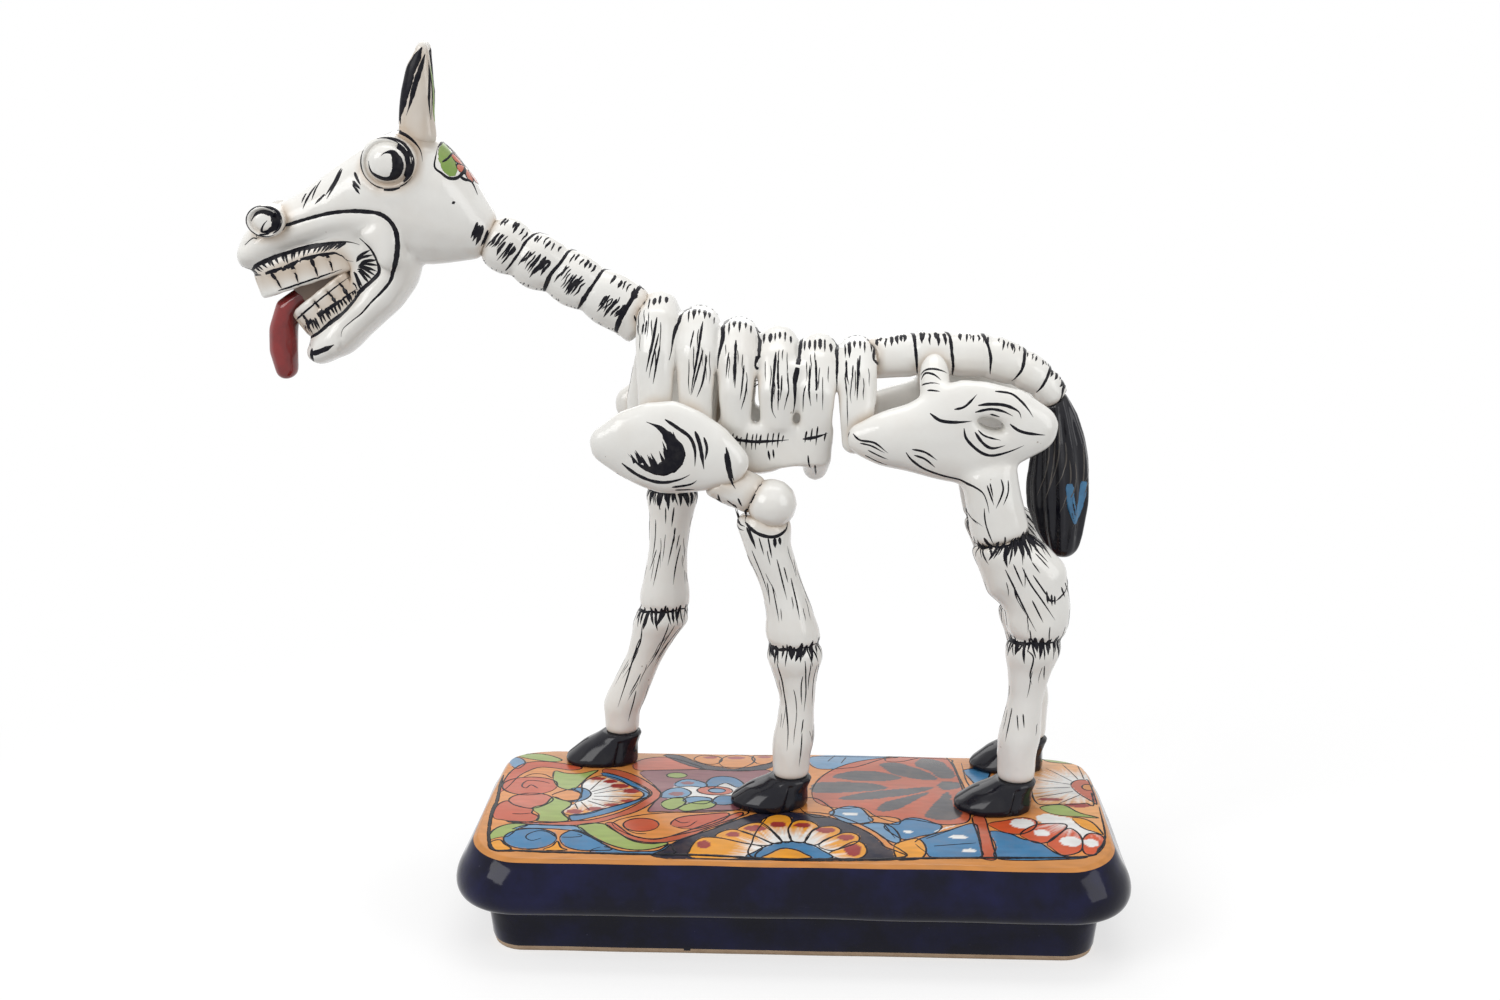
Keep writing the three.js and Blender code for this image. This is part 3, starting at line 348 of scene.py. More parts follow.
# The painting: each row is a shape's kind, its colour (a line's is its width), whether it is outlined, and its
# points in millimetres on the top. Later shapes are painted over earlier ones, as the painter does.
COLOURS = dict(red=(192, 84, 54), coral=(198, 102, 78), clay=(190, 92, 62), orange=(216, 140, 72),
               yellow=(230, 155, 45), green=(150, 170, 92), blue=(66, 124, 168), sky=(105, 148, 184),
               navy=(34, 34, 52), slate=(76, 75, 80), plum=(137, 84, 92), brick=(152, 48, 46),
               white=(232, 232, 230), peach=(226, 165, 108), vermilion=(206, 86, 48), shell=(224, 150, 60),
               band=(206, 140, 78))
PANEL = (
    ("fill", "sky", 1, -136.3, 40, -134.6, 47, -130.5, 45, -127.7, 37, -130.6, 29),
    ("fill", "green", 1, -132.9, 50, -127.3, 55, -119.3, 53, -111.2, 44, -115.5, 41, -126.7, 45),
    ("fill", "red", 1, -133, -2, -133.3, 12, -132, 26, -128.2, 37, -121.3, 41, -111.4, 39, -100, 32,
     -104.1, 28, -112.1, 31, -119.9, 32, -124.5, 26, -127.7, 18, -130.1, 5),
    ("oval", "red", 1, -120.4, 7, 12.7, 11.0), ("line", 1.2, 1, -111.9, 17, -116.4, 22, -122, 22, -126.4, 15),
    ("line", 1.2, 1, -116.3, 4, -120.1, 8, -121.8, 4, -124.2, 7, -122.7, 13, -116.8, 13, -111.8, 10),
    ("fill", "coral", 1, -126.8, -12, -126.1, -6, -119.9, -2, -112.1, -3, -107.6, -8, -109.1, -13, -114.2,
     -18, -121, -17),
    ("fill", "red", 1, -131.6, -25, -131.4, -16, -127.9, -11, -124, -15, -118.2, -18, -114.9, -19, -114.8,
     -23, -111.5, -26, -111.8, -30, -118.6, -32, -126.4, -30, -130, -29),
    ("line", 1.1, 1, -123.3, -24, -119, -24, -114.8, -23),
    ("fill", "green", 1, -111.4, 17, -111.9, 27, -106.9, 24, -99.7, 23, -91.9, 28, -95.3, 18, -97.7, 9,
     -100.5, 2, -106.3, 5, -108.9, 9),
    ("fill", "green", 1, -115.6, -18, -110.4, -14, -108, -6, -103.5, -9, -99, -12, -99.2, -17, -101.6, -22,
     -97.6, -29, -101.2, -31, -107.7, -31, -111.8, -30, -111.2, -25),
    ("fill", "orange", 1, -108.7, -4, -105.6, 0, -100.6, 3, -95.9, -2, -96, -8, -100.6, -10, -105.4, -8),
    ("fill", "shell", 1, -96.8, -12, -95.6, -1, -96.8, 9, -94.2, 16, -88.5, 20, -81.1, 16, -74.8, 8, -69.2,
     3, -64.6, -3, -68.6, -8, -76.1, -13, -83.1, -18, -89.1, -23, -96.8, -25, -101.1, -22, -99.3, -16),
    ("oval", "brick", 0, -90.4, 16, 4.1, 2.1), ("oval", "brick", 0, -84, 12.4, 3.2, 2.3),
    ("oval", "brick", 0, -79.2, 7, 4.1, 2.7), ("oval", "brick", 0, -73.1, 1.3, 4.1, 2.8),
    ("oval", "brick", 0, -72.8, -9.9, 4.4, 1.8), ("oval", "brick", 0, -80.4, -14.4, 4.0, 1.8),
    ("oval", "brick", 0, -87.4, -18.7, 4.0, 2.2), ("oval", "brick", 0, -96.3, -21.5, 3.6, 2.3),
    ("line", 1.0, 1, -92.2, 2, -88.8, 14), ("line", 1.0, 1, -91.2, 0, -82.5, 7),
    ("line", 1.0, 1, -90, -2, -75.2, 4), ("line", 1.0, 1, -89.6, -5, -67.5, -5),
    ("line", 1.0, 1, -90.1, -8, -76.2, -12), ("line", 1.0, 1, -91.7, -10, -82.8, -16),
    ("line", 1.0, 1, -94.7, -11, -89.5, -20), ("line", 1.0, 1, -97.1, -13, -94.9, -19),
    ("fill", "blue", 1, -101.5, 3, -97.2, 5, -93.1, 2, -91.2, -3, -92.8, -8, -96.4, -11, -99.6, -11, -96,
     -8, -95.9, -2),
    ("fill", "blue", 1, -89.5, 24, -84.7, 22, -78, 17, -71.2, 9, -64.8, -1, -68.4, -10, -74.3, -17, -80.3,
     -22, -88.5, -27, -95.7, -30, -97.6, -25, -91.3, -23, -85.2, -19, -76.8, -14, -69.5, -8, -67.4, -2,
     -72.6, 5, -79.8, 13, -87.5, 19),
    ("fill", "clay", 1, -88.8, 30, -80.5, 27, -71.2, 18, -63.2, 6, -59.6, -3, -63.6, -13, -69.4, -21,
     -77.6, -27, -83.7, -31, -94.3, -34, -107.3, -34, -122.9, -32, -122.2, -31, -107.6, -32, -94.8, -30,
     -88.3, -29, -79.3, -24, -72.9, -18, -67.4, -10, -63.8, -1, -70.2, 9, -78.1, 17, -84.8, 23, -89.2, 25),
    ("fill", "green", 1, -129.4, -47, -129.6, -41, -126.6, -36, -121, -33, -114.7, -34, -118.8, -38,
     -121.7, -44, -125.4, -45),
    ("fill", "sky", 1, -121, -38, -114.7, -34, -105.1, -34, -93.2, -35, -87.7, -41, -80.8, -48, -91.2, -40,
     -98.1, -38, -106.9, -37, -115.5, -37),
    ("oval", "blue", 1, -112, -45.4, 11.4, 8.2),
    ("line", 1.1, 1, -101.1, -44, -105, -40, -109.5, -39, -113.5, -42, -113.8, -45, -110.9, -47, -107.4, -45),
    ("fill", "blue", 1, -99.4, -44, -97.3, -40, -93.2, -38, -87.6, -42, -81.2, -48, -76, -53, -82.5, -54,
     -89.4, -54, -94.7, -52, -97.8, -49),
    ("line", 1.0, 1, -98.5, -44, -94.1, -44, -89.9, -43, -92.8, -41),
    ("fill", "yellow", 1, -128.2, -49, -124.7, -47, -122.4, -50, -118.7, -54, -125.1, -55),
    ("fill", "yellow", 1, -105.1, -54, -101.7, -51, -100, -47, -97.8, -52, -94.9, -54),
    ("fill", "green", 1, -93.2, -35, -87.9, -32, -80.9, -33, -76.4, -38, -70.1, -44, -62.4, -47, -52.6,
     -47, -57, -51, -64, -53, -71.7, -52, -79.5, -48, -86.7, -42),
    ("fill", "blue", 1, -79.5, -51, -71.5, -54, -63, -54, -56.4, -53, -51.7, -48, -50.1, -52, -50.3, -55,
     -72.2, -56, -85, -55),
    ("fill", "orange", 1, -78.4, -32, -67, -24, -49.7, -20, -25.6, -17, -19.7, -20, -30.6, -29, -39.8, -36,
     -48.1, -40, -58.5, -44, -68.6, -42),
    ("fill", "clay", 1, -81.2, -33, -78.5, -31, -74.5, -35, -69.5, -41, -62.8, -44, -56.3, -44, -48.1, -39,
     -40, -33, -30.9, -25, -23.3, -19, -22.3, -22, -29.7, -30, -37.6, -36, -43.6, -42, -51.9, -46, -60.2,
     -48, -68.1, -46, -74.8, -40),
    ("oval", "red", 1, -65.6, -32.5, 7.8, 5.8),
    ("line", 1.0, 1, -62.7, -40, -67, -40, -71.3, -37, -73.5, -32),
    ("fill", "red", 1, -52.7, -32, -51.3, -27, -47.2, -24, -39.8, -22, -28.5, -20, -29.9, -26, -36.5, -32,
     -42, -35, -47.6, -35),
    ("line", 1.0, 1, -51.7, -27, -48, -30, -44.6, -29), ("line", 1.0, 1, -49.4, -34, -45.1, -33, -41.6, -28),
    ("fill", "coral", 1, -76.3, 40, -70.7, 50, -61.3, 53, -50, 43, -43.6, 33, -61.2, 30, -73.7, 29),
    ("fill", "navy", 1, -63.6, 57, -55.9, 57, -45.2, 43, -35.4, 37, -23.5, 36, -13, 43, -9.4, 50, -9.6, 42,
     -14.1, 33, -25.7, 31, -37.3, 31, -49.6, 38),
    ("fill", "orange", 1, -48.6, 50, -45.3, 58, -37.5, 56, -35.1, 49, -37.5, 42, -43.2, 42),
    ("fill", "orange", 1, -36.3, 45, -33.2, 57, -26.1, 60, -20, 54, -20.5, 43, -26.8, 34, -33, 36),
    ("fill", "orange", 1, -18.2, 43, -21, 54, -17.4, 61, -9.7, 61, -8.8, 49, -13.4, 42),
    ("oval", "brick", 0, -40.7, 54.3, 3.4, 2.7), ("oval", "brick", 0, -28.2, 54.1, 4.3, 3.1),
    ("oval", "brick", 0, -14.8, 55.9, 3.3, 2.8),
    ("fill", "plum", 1, -72, 26, -61.2, 30, -43.5, 32, -25.6, 30, -12.6, 32, -11.3, 20, -19, 5, -24.7, -7,
     -23.4, -16, -40.9, -20, -57.6, -20, -63.8, -20, -61.2, -9, -59.3, -2, -65, 11),
    ("oval", "green", 1, -54.5, 22.5, 4.8, 3.9),
    ("fill", "white", 0, -56.1, 3, -49.8, 11, -41.3, 12, -32.3, 15, -23.8, 12, -21.7, 5, -25.8, -5, -36.2,
     -10, -45.9, -12, -56.1, -7),
    ("fill", "sky", 1, -54.4, 11, -51.6, 16, -47.1, 17, -40.3, 12, -40.9, 7, -47.3, 8, -52.7, 7),
    ("oval", "plum", 0, -48.6, 12.1, 3.2, 2.0),
    ("fill", "blue", 1, -40.3, 11, -38.5, 19, -33.6, 22, -27.4, 20, -22.9, 12, -25.9, 8, -31.7, 13, -37.2, 6),
    ("fill", "sky", 1, -59.9, -5, -57.4, 3, -51.7, 6, -46.4, 1, -47.8, -4, -53, -6),
    ("oval", "plum", 0, -52.5, -1.3, 3.4, 2.3),
    ("fill", "green", 1, -58.7, -12, -56.5, -8, -50.9, -5, -47.9, -9, -49.2, -14, -53.4, -18, -57.1, -16),
    ("fill", "sky", 1, -49.2, -9, -47.3, -5, -41.9, -4, -36.4, -6, -38.8, -11, -45, -11),
    ("fill", "green", 1, -50.9, -16, -45.9, -11, -39.4, -8, -34.4, -10, -36.3, -15, -43.2, -18, -48, -19),
    ("fill", "blue", 1, -36.2, -10, -33.9, -3, -28.6, -2, -23.2, -2, -25.5, -9, -30.7, -12),
    ("oval", "coral", 1, -35.7, 3.4, 8.1, 5.0), ("oval", "sky", 1, -34.8, 3.5, 3.9, 2.6),
    ("fill", "orange", 1, 3, -12, 5.6, -3, 10.9, -4, 15.4, -11, 18.1, -17, 15.9, -22, 9.7, -23, 4.9, -18),
    ("fill", "orange", 1, 3.1, -18, 16.3, -20, 27.6, -27, 36.5, -36, 42.2, -45, 44.8, -56, -13.1, -58, -10,
     -21),
    ("fill", "navy", 1, -51.6, -59, -52.7, -51, -46.1, -43, -35.5, -36, -25.1, -27, -12.3, -19, 3.1, -19,
     16.3, -23, 26.7, -30, 34.7, -38, 39.6, -47, 41.4, -56),
    ("fill", "white", 0, -20.6, -57, -16.8, -49, -9.3, -42, -0.9, -39, 6.9, -41, 13.7, -46, 18.8, -56),
    ("petal", "yellow", 1, -41.6, -58, -42.9, -52, -40.8, -45, -36.8, -42, -29, -43, -21.2, -46, -12.5,
     -49, -14.9, -54, -18.1, -58),
    ("oval", "brick", 0, -37.2, -48.1, 3.0, 3.1),
    ("petal", "yellow", 1, -32.9, -41, -30.2, -37, -25.1, -35, -19.8, -38, -13.6, -42, -8.3, -47, -13.4,
     -48, -21.2, -46, -29, -43),
    ("oval", "brick", 0, -25.3, -39.4, 3.0, 2.2),
    ("petal", "yellow", 1, -23.8, -35, -19.3, -30, -13.7, -29, -9.6, -34, -4.1, -45, -8.4, -46, -14.9, -41,
     -20.3, -37),
    ("oval", "brick", 0, -16.1, -33.9, 4.8, 2.7),
    ("petal", "yellow", 1, -13.7, -29, -11.7, -24, -7.4, -21, -2.1, -22, -0.2, -28, -1.8, -35, -0.3, -44,
     -3.7, -45, -9.1, -36),
    ("oval", "brick", 0, -6.3, -30, 3.4, 2.8),
    ("petal", "yellow", 1, -1, -30, 2.8, -26, 8, -27, 11.5, -32, 8.6, -36, 5.2, -45, 0.1, -44, -1.5, -37),
    ("oval", "brick", 0, 4.2, -30.5, 3.6, 2.3),
    ("petal", "yellow", 1, 8.1, -36, 12, -32, 18, -31, 21, -34, 19.7, -38, 14.6, -42, 10.4, -47, 5.7, -45),
    ("oval", "brick", 0, 14.1, -34.6, 4.3, 2.4),
    ("petal", "yellow", 1, 13.7, -44, 19.7, -38, 24.9, -36, 28.7, -39, 27.8, -44, 22.6, -48, 16.7, -51,
     11.6, -48),
    ("oval", "brick", 0, 23.1, -40.3, 3.8, 2.5),
    ("petal", "yellow", 1, 15.9, -53, 20.5, -49, 25.6, -44, 29.9, -44, 31.9, -50, 30.1, -55, 24.6, -58,
     18.8, -56),
    ("oval", "brick", 0, 26, -50, 3.8, 4.8),
    ("fill", "blue", 1, -17.6, -58, -14.5, -52, -10, -48, -4.1, -45, 2.7, -45, 8.7, -47, 12.9, -51, 15.5, -57),
    ("fill", "yellow", 1, -12.2, -58, -9, -54, -4, -50, 1.9, -51, 5.8, -54, 7.5, -57),
    ("fill", "sky", 1, 7.8, 57, 35.8, 65, 52.8, 67, 53.1, 62, 42.7, 56, 31.5, 42, 23.9, 37, 9.8, 36),
    ("line", 1.0, 1, 15.4, 48, 18.8, 60), ("line", 1.0, 1, 21.6, 45, 25.1, 61),
    ("fill", "orange", 1, 42.6, 52, 44.9, 62, 50.3, 66, 58.3, 61, 52.6, 52, 46.3, 49),
    ("fill", "clay", 1, 8.2, 6, 10.8, 19, 16.4, 32, 25.9, 45, 38.4, 55, 52.6, 61, 65.7, 65, 73.7, 54, 75.7,
     29, 77.4, 9, 77.9, -8, 76.8, -23, 70.4, -27, 63.9, -27, 55.5, -24, 49.8, -23, 44.9, -26, 36.4, -21,
     30.4, -13, 22.9, -14, 15.4, -12, 9.6, -6),
    ("fill", "slate", 0, 9.5, 15, 20.9, 17, 34.6, 16, 43.1, 11, 38, 7, 25.3, 4, 8.6, 4),
    ("fill", "slate", 0, 17.3, 24, 25.7, 32, 37.3, 33, 49.6, 25, 43.9, 20, 30.1, 19, 22.3, 21),
    ("fill", "slate", 0, 40, 45, 47.7, 48, 56.3, 40, 63.3, 31, 66, 22, 57.7, 22, 46.5, 29, 41.7, 38),
    ("fill", "slate", 0, 56.5, 44, 60.5, 58, 68.8, 53, 72.7, 40, 74.7, 29, 72.1, 24, 67.1, 25, 62.6, 35),
    ("fill", "slate", 0, 65.6, 15, 69, 20, 75.8, 18, 76.8, 13, 70.6, 9, 67.1, 10),
    ("fill", "slate", 0, 19.9, -3, 29.8, 3, 43.5, 8, 63.5, 12, 55.5, 4, 40.9, -2, 27.5, -5),
    ("fill", "slate", 0, 37, -14, 40.7, -7, 47.6, -2, 61.4, 6, 54.7, -4, 47.2, -13, 41.8, -16, 38.3, -16),
    ("fill", "slate", 0, 57.8, -20, 60.5, -12, 64.5, -3, 69.6, 7, 70.7, -3, 71.6, -10, 74.3, -16, 70.8,
     -22, 64.2, -23),
    ("fill", "orange", 1, 32.9, -22, 36.4, -21, 40.8, -21, 46.4, -23, 45.8, -28, 38.8, -27, 34.6, -26),
    ("fill", "sky", 1, 15.9, -18, 22.9, -12, 29.5, -13, 32.9, -20, 35, -25, 29.3, -28, 22.8, -27, 18, -22),
    ("oval", "white", 0, 25.1, -19.4, 3.5, 1.5),
    ("fill", "sky", 1, 30.2, -29, 38, -27, 43.5, -31, 46.2, -39, 45.2, -44, 40.2, -41, 35.2, -34),
    ("line", 1.0, 1, 39.7, -28, 44.1, -40),
    ("fill", "blue", 1, 45.8, -26, 50.3, -22, 55.6, -22, 61.9, -26, 64.7, -29, 61.4, -35, 54.8, -38, 48.3,
     -41, 43.7, -37, 39.6, -30),
    ("oval", "white", 0, 49.8, -34.2, 2.1, 1.4),
    ("fill", "blue", 1, 52.4, -43, 59.1, -37, 68, -32, 78.7, -26, 80.1, -37, 80.1, -47, 78.7, -54, 60.3,
     -55, 56.7, -51),
    ("oval", "white", 0, 71, -38.2, 3.9, 1.7), ("oval", "white", 0, 74.9, -49.2, 2.9, 1.4),
    ("line", 1.0, 1, 57.3, -40, 71.5, -30), ("line", 1.0, 1, 60.3, -46, 78.3, -43),
    ("fill", "white", 0, 51.7, -41, 61.4, -34, 70.4, -28, 65.5, -30, 58.3, -36),
    ("fill", "yellow", 1, 43.4, -46, 47.8, -42, 53.4, -40, 56.2, -44, 56.7, -51, 53.9, -56, 47.6, -57,
     44.3, -56),
    ("fill", "orange", 1, 72.2, 68, 74.4, 45, 75.5, 26, 76.2, 11, 77, -3, 76.9, -15, 80.8, -11, 80.8, 7,
     78.8, 22, 78.7, 45, 78.5, 68),
    ("fill", "clay", 1, 78.3, -20, 79.6, -37, 80.2, -51, 80.3, -55, 85.7, -55, 85.3, -45, 84.4, -30, 83.5, -20),
    ("fill", "blue", 1, 79.1, 38, 89.1, 41, 90.9, 34, 87.9, 21, 84, 13, 80.8, 24),
    ("fill", "peach", 0, 112.6, 45, 119.6, 61, 128.4, 66, 136.8, 64, 137.1, 40, 137.1, 12, 135.3, -13,
     133.7, -33, 128.6, -27, 123.9, -14, 115.9, -8, 106.7, -7),
    ("daisy", "peach", 1, 113.2, 51, 124.4, 61, 135.3, 54, 137.6, 31, 136.2, 2, 128.3, -4, 118.4, -5,
     107.3, -1),
    ("oval", "brick", 0, 114.6, 0, 5.4, 1.8), ("oval", "brick", 0, 126.2, -6.1, 6.2, 2.4),
    ("line", 0.9, 1, 130.5, 26, 126.3, 50), ("line", 0.9, 1, 133.3, 26, 133.4, 54),
    ("line", 0.9, 1, 127.4, 23, 117.8, 42), ("line", 0.9, 1, 125.9, 19, 112.1, 25),
    ("line", 0.9, 1, 125.4, 15, 109.8, 13), ("line", 0.9, 1, 126.1, 10, 108.6, 2),
    ("line", 0.9, 1, 128.8, 6, 117.5, -5), ("line", 0.9, 1, 137.8, 32, 136.7, 50),
    ("fill", "coral", 1, 126.2, 18, 129, 24, 133.6, 25, 136.7, 18, 136.8, 3, 135.4, -4, 131.6, 1, 127.8, 9),
    ("oval", "orange", 1, 133.6, 15.3, 2.7, 3.9),
    ("fill", "green", 1, 118.9, 63, 127.4, 66, 136.8, 64, 137, 52, 128.1, 52, 120.3, 55),
    ("fill", "green", 1, 109.1, -9, 116, -6, 120.8, -7, 125.7, -14, 133.6, -19, 125.4, -18, 116.9, -17,
     111.6, -14),
    ("fill", "white", 0, 105.9, -22, 110.1, -16, 116.8, -18, 124.2, -21, 129.1, -30, 133.5, -37, 130.9,
     -41, 122.9, -38, 115.2, -31),
    ("fill", "yellow", 1, 121.9, -19, 129.3, -22, 133.2, -34, 130, -32, 125, -28),
    ("fill", "blue", 1, 85.1, -33, 93.4, -35, 98.2, -39, 105.4, -42, 109.8, -48, 114.8, -52, 124.3, -52,
     116.6, -54, 87.4, -55, 86.6, -45),
    ("drop", "vermilion", 1, 84.8, -26, 92.4, -23, 100.1, -20, 105.8, -23, 104.2, -30, 98.1, -35, 91.4,
     -34, 87, -30),
    ("oval", "white", 0, 99.5, -25.6, 5.2, 4.7),
    ("drop", "vermilion", 1, 97.7, -35, 104.5, -27, 111.6, -25, 118.8, -26, 114.8, -34, 109.3, -41, 103.7,
     -42, 100.2, -39),
    ("oval", "white", 0, 107.2, -33.9, 3.6, 3.0),
    ("drop", "vermilion", 1, 108.5, -42, 114.5, -34, 119.7, -29, 123.5, -36, 122.7, -46, 119.1, -50, 113.7,
     -51, 110, -46),
    ("oval", "white", 0, 118.7, -40.4, 4.7, 4.2),
    ("drop", "vermilion", 1, 124.2, -38, 128.2, -33, 132.9, -36, 132.3, -43, 127.9, -50, 123.1, -49),
    ("oval", "white", 0, 127.1, -41.3, 3.4, 3.3),
    ("line", 2.8, 1, -136.3, 40, -135.2, 23, -134, 6, -132.3, -11, -132.4, -23, -131, -38, -129.2, -48,
     -125.8, -55, -114.7, -55, -80.7, -56, -38.4, -56, -4.7, -58, 24.7, -57, 45.6, -56, 87.5, -54, 123.1,
     -52, 129.7, -46, 133.8, -36, 134.9, -16, 135.8, 6, 136.5, 32, 136.5, 62),
)
# Fans of petals: white at the flower's middle, running out to the petal's colour. Middle, then where it starts
# and ends.
FANS = dict(petal=((-1.3, -57), 16, 25), daisy=((129, 16), 12, 25), shell=((-93.5, -3), 12, 22),
            drop=((124, -19), 6, 19))


def linear(colour):
    """A colour of 0-255 display values, as linear light."""
    value = np.asarray(colour, float) / 255
    return np.where(value <= 0.04045, value / 12.92, ((value + 0.055) / 1.055) ** 2.4)


def inside_outline(spots, outline):
    """Which of the spots lie inside a closed outline."""
    x, y = spots[:, 0:1], spots[:, 1:2]
    x0, y0 = outline.T
    x1, y1 = np.roll(outline, -1, axis=0).T
    with np.errstate(divide="ignore", invalid="ignore"):
        crossing = ((y0 > y) != (y1 > y)) & (x < (x1 - x0) * (y - y0) / (y1 - y0) + x0)
    return crossing.sum(1) % 2 == 1


painting = np.tile(linear(COLOURS["orange"]), (len(points), 1))
spots = flat_points[:, :2] + 0.35 * np.array([noise.noise_vector(Vector((x / 3, y / 3, 0)))[:2]
                                              for x, y in flat_points[:, :2]])
on_panel = ring_inset == TOP_INSET
border = smooth_line(np.array(PANEL[-1][3:]).reshape(-1, 2), 8)
painting[~(on_panel & inside_outline(spots, border))] = linear(COLOURS["band"])
outlines = []
for kind, colour, outlined, *numbers in PANEL:
    if kind == "oval":
        turn = np.linspace(0, 2 * math.pi, 25)[:-1]
        x, y, wide, deep = numbers
        outline = np.stack([x + wide * np.cos(turn), y + deep * np.sin(turn)], axis=1)
    else:
        outline = smooth_line(np.array(numbers).reshape(-1, 2), 5, closed=kind != "line")
    if kind == "line":
        outlines.append((outline, colour * 0.3))
        continue
    low, high = outline.min(0), outline.max(0)
    near = np.flatnonzero(on_panel & np.all((spots > low) & (spots < high), axis=1))
    filled = near[inside_outline(spots[near], outline)]
    tint = np.tile(linear(COLOURS[colour]), (len(filled), 1))
    fan = FANS.get(kind, FANS.get(colour))
    if fan:
        middle, start, stop = fan
        away = spots[filled] - middle
        turn, distance = np.arctan2(away[:, 1], away[:, 0]), np.linalg.norm(away, axis=1)
        ray = np.array([noise.noise(Vector((t * 26, 0.5, 0))) for t in turn])
        share = np.clip((distance - start + 9 * ray) / (stop - start), 0, 1)[:, None]
        tint = linear(COLOURS["white"]) * (1 - share) + tint * share
    painting[filled] = tint
    if outlined:
        outlines.append((np.vstack([outline, outline[:1]]), 0.42))
streak = np.array([noise.noise(Vector((x / 9, y / 2.2, 3))) for x, y in flat_points[:, :2]])
painting *= (1 + 0.16 * streak)[:, None]
face_inset = np.array([ring_inset[face].mean() for face in faces])
is_navy = face_inset < BAND_INSET
is_navy[-4 * around:] = True

mesh = bpy.data.meshes.new("plinth_cover")
mesh.from_pydata(in_frame(points).tolist(), [], faces)
mesh.shade_smooth()
mesh.materials.append(painted)
mesh.materials.append(navy)
mesh.polygons.foreach_set("material_index", is_navy.astype(np.int32))
mesh.attributes.new("painting", "FLOAT_COLOR", "POINT").data.foreach_set(
    "color", np.column_stack([np.clip(painting, 0, 1), np.ones(len(points))]).ravel())
cover = bpy.data.objects.new("plinth_cover", mesh)
bpy.context.collection.objects.link(cover)
pieces = {"plinth_cover": cover}
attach(cover, "root")
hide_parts("plinth_top")

# Black outlines: brushed in slip round each shape of the painting. A line is a thin closed ribbon that hugs what
# is under it, swells under the brush's weight and runs out to a point. The bones' lines use the same brush.
ink = glazed("brushed_black_slip", (0.006, 0.006, 0.011), (0.045, 0.042, 0.042), crevice_shade=None, mottle_size=0.003,
             mottle=0.4, specks=0.1, gloss=0.2, peel=0.5, shine=0.12)

brush = bpy.data.node_groups.new("brush_line", "GeometryNodeTree")
brush.interface.new_socket("Geometry", in_out="INPUT", socket_type="NodeSocketGeometry")
for label, kind in (("Clay", "NodeSocketObject"), ("Paint", "NodeSocketMaterial"), ("Thickness", "NodeSocketFloat"),
                    ("Spacing", "NodeSocketFloat"), ("Start Width", "NodeSocketFloat"),
                    ("End Width", "NodeSocketFloat"), ("Tremble", "NodeSocketFloat"), ("Sides", "NodeSocketInt")):
    brush.interface.new_socket(label, in_out="INPUT", socket_type=kind)
brush.interface.new_socket("Geometry", in_out="OUTPUT", socket_type="NodeSocketGeometry")
given = add_node(brush, "NodeGroupInput").outputs


def reckon(tree, operation, *values):
    """A Math node's output."""
    return add_node(tree, "ShaderNodeMath", dict(enumerate(values)), operation=operation).outputs[0]


def reckon_vector(tree, operation, *values, output=0):
    """A Vector Math node's output. A single number goes to the node's Scale."""
    made = add_node(tree, "ShaderNodeVectorMath", operation=operation)
    for i, value in enumerate(values):
        socket = made.inputs["Scale"] if operation == "SCALE" and i == 1 else made.inputs[i]
        if isinstance(value, bpy.types.NodeSocket):
            tree.links.new(value, socket)
        else:
            socket.default_value = value
    return made.outputs[output]


clay_body = add_node(brush, "GeometryNodeObjectInfo", {"Object": given["Clay"]}).outputs["Geometry"]
clay_normal = add_node(brush, "GeometryNodeInputNormal").outputs["Normal"]


def on_clay(position):
    """The nearest place on the clay to a position, and the clay's normal there."""
    near = add_node(brush, "GeometryNodeProximity", {0: clay_body, "Sample Position": position},
                    target_element="FACES")
    up = add_node(brush, "GeometryNodeSampleNearestSurface", {"Mesh": clay_body, "Value": clay_normal,
                                                              "Sample Position": position},
                  data_type="FLOAT_VECTOR")
    return near.outputs["Position"], up.outputs["Value"]


line = add_node(brush, "GeometryNodeMeshToCurve", {"Mesh": given["Geometry"]}).outputs["Curve"]
line = add_node(brush, "GeometryNodeCurveSplineType", {"Curve": line}, spline_type="CATMULL_ROM").outputs["Curve"]
line = add_node(brush, "GeometryNodeResampleCurve", {"Curve": line, "Length": given["Spacing"]},
                mode="LENGTH").outputs["Curve"]
here = add_node(brush, "GeometryNodeInputPosition").outputs["Position"]
middle_at, middle_up = on_clay(here)
line = add_node(brush, "GeometryNodeSetPosition", {"Geometry": line, "Position": middle_at}).outputs["Geometry"]
along = add_node(brush, "GeometryNodeInputTangent").outputs["Tangent"]
held = add_node(brush, "GeometryNodeCaptureAttribute", {"Geometry": line}, domain="POINT")
for label, value in (("middle", here), ("along", along), ("up", middle_up)):
    held.capture_items.new("VECTOR", label)
    link(brush, value, held.inputs[label])
factor = add_node(brush, "GeometryNodeSplineParameter").outputs["Factor"]
rise = reckon(brush, "MINIMUM", reckon(brush, "MULTIPLY_ADD", factor, 5.0, given["Start Width"]), 1.0)
left = reckon(brush, "SUBTRACT", 1.0, factor)
run_out = reckon(brush, "MINIMUM", reckon(brush, "MULTIPLY_ADD", left, 2.6, given["End Width"]), 1.0)
shiver = add_node(brush, "ShaderNodeTexNoise", {"Vector": here, "Scale": 420.0, "Detail": 2.0}).outputs["Fac"]
shiver = reckon(brush, "MULTIPLY", reckon(brush, "SUBTRACT", shiver, 0.5), given["Tremble"])
weight = reckon(brush, "MULTIPLY", reckon(brush, "MULTIPLY", rise, run_out), reckon(brush, "ADD", 1.0, shiver))
half = add_node(brush, "GeometryNodeInputNamedAttribute", {"Name": "half"}, data_type="FLOAT").outputs["Attribute"]
held.capture_items.new("FLOAT", "half_width")
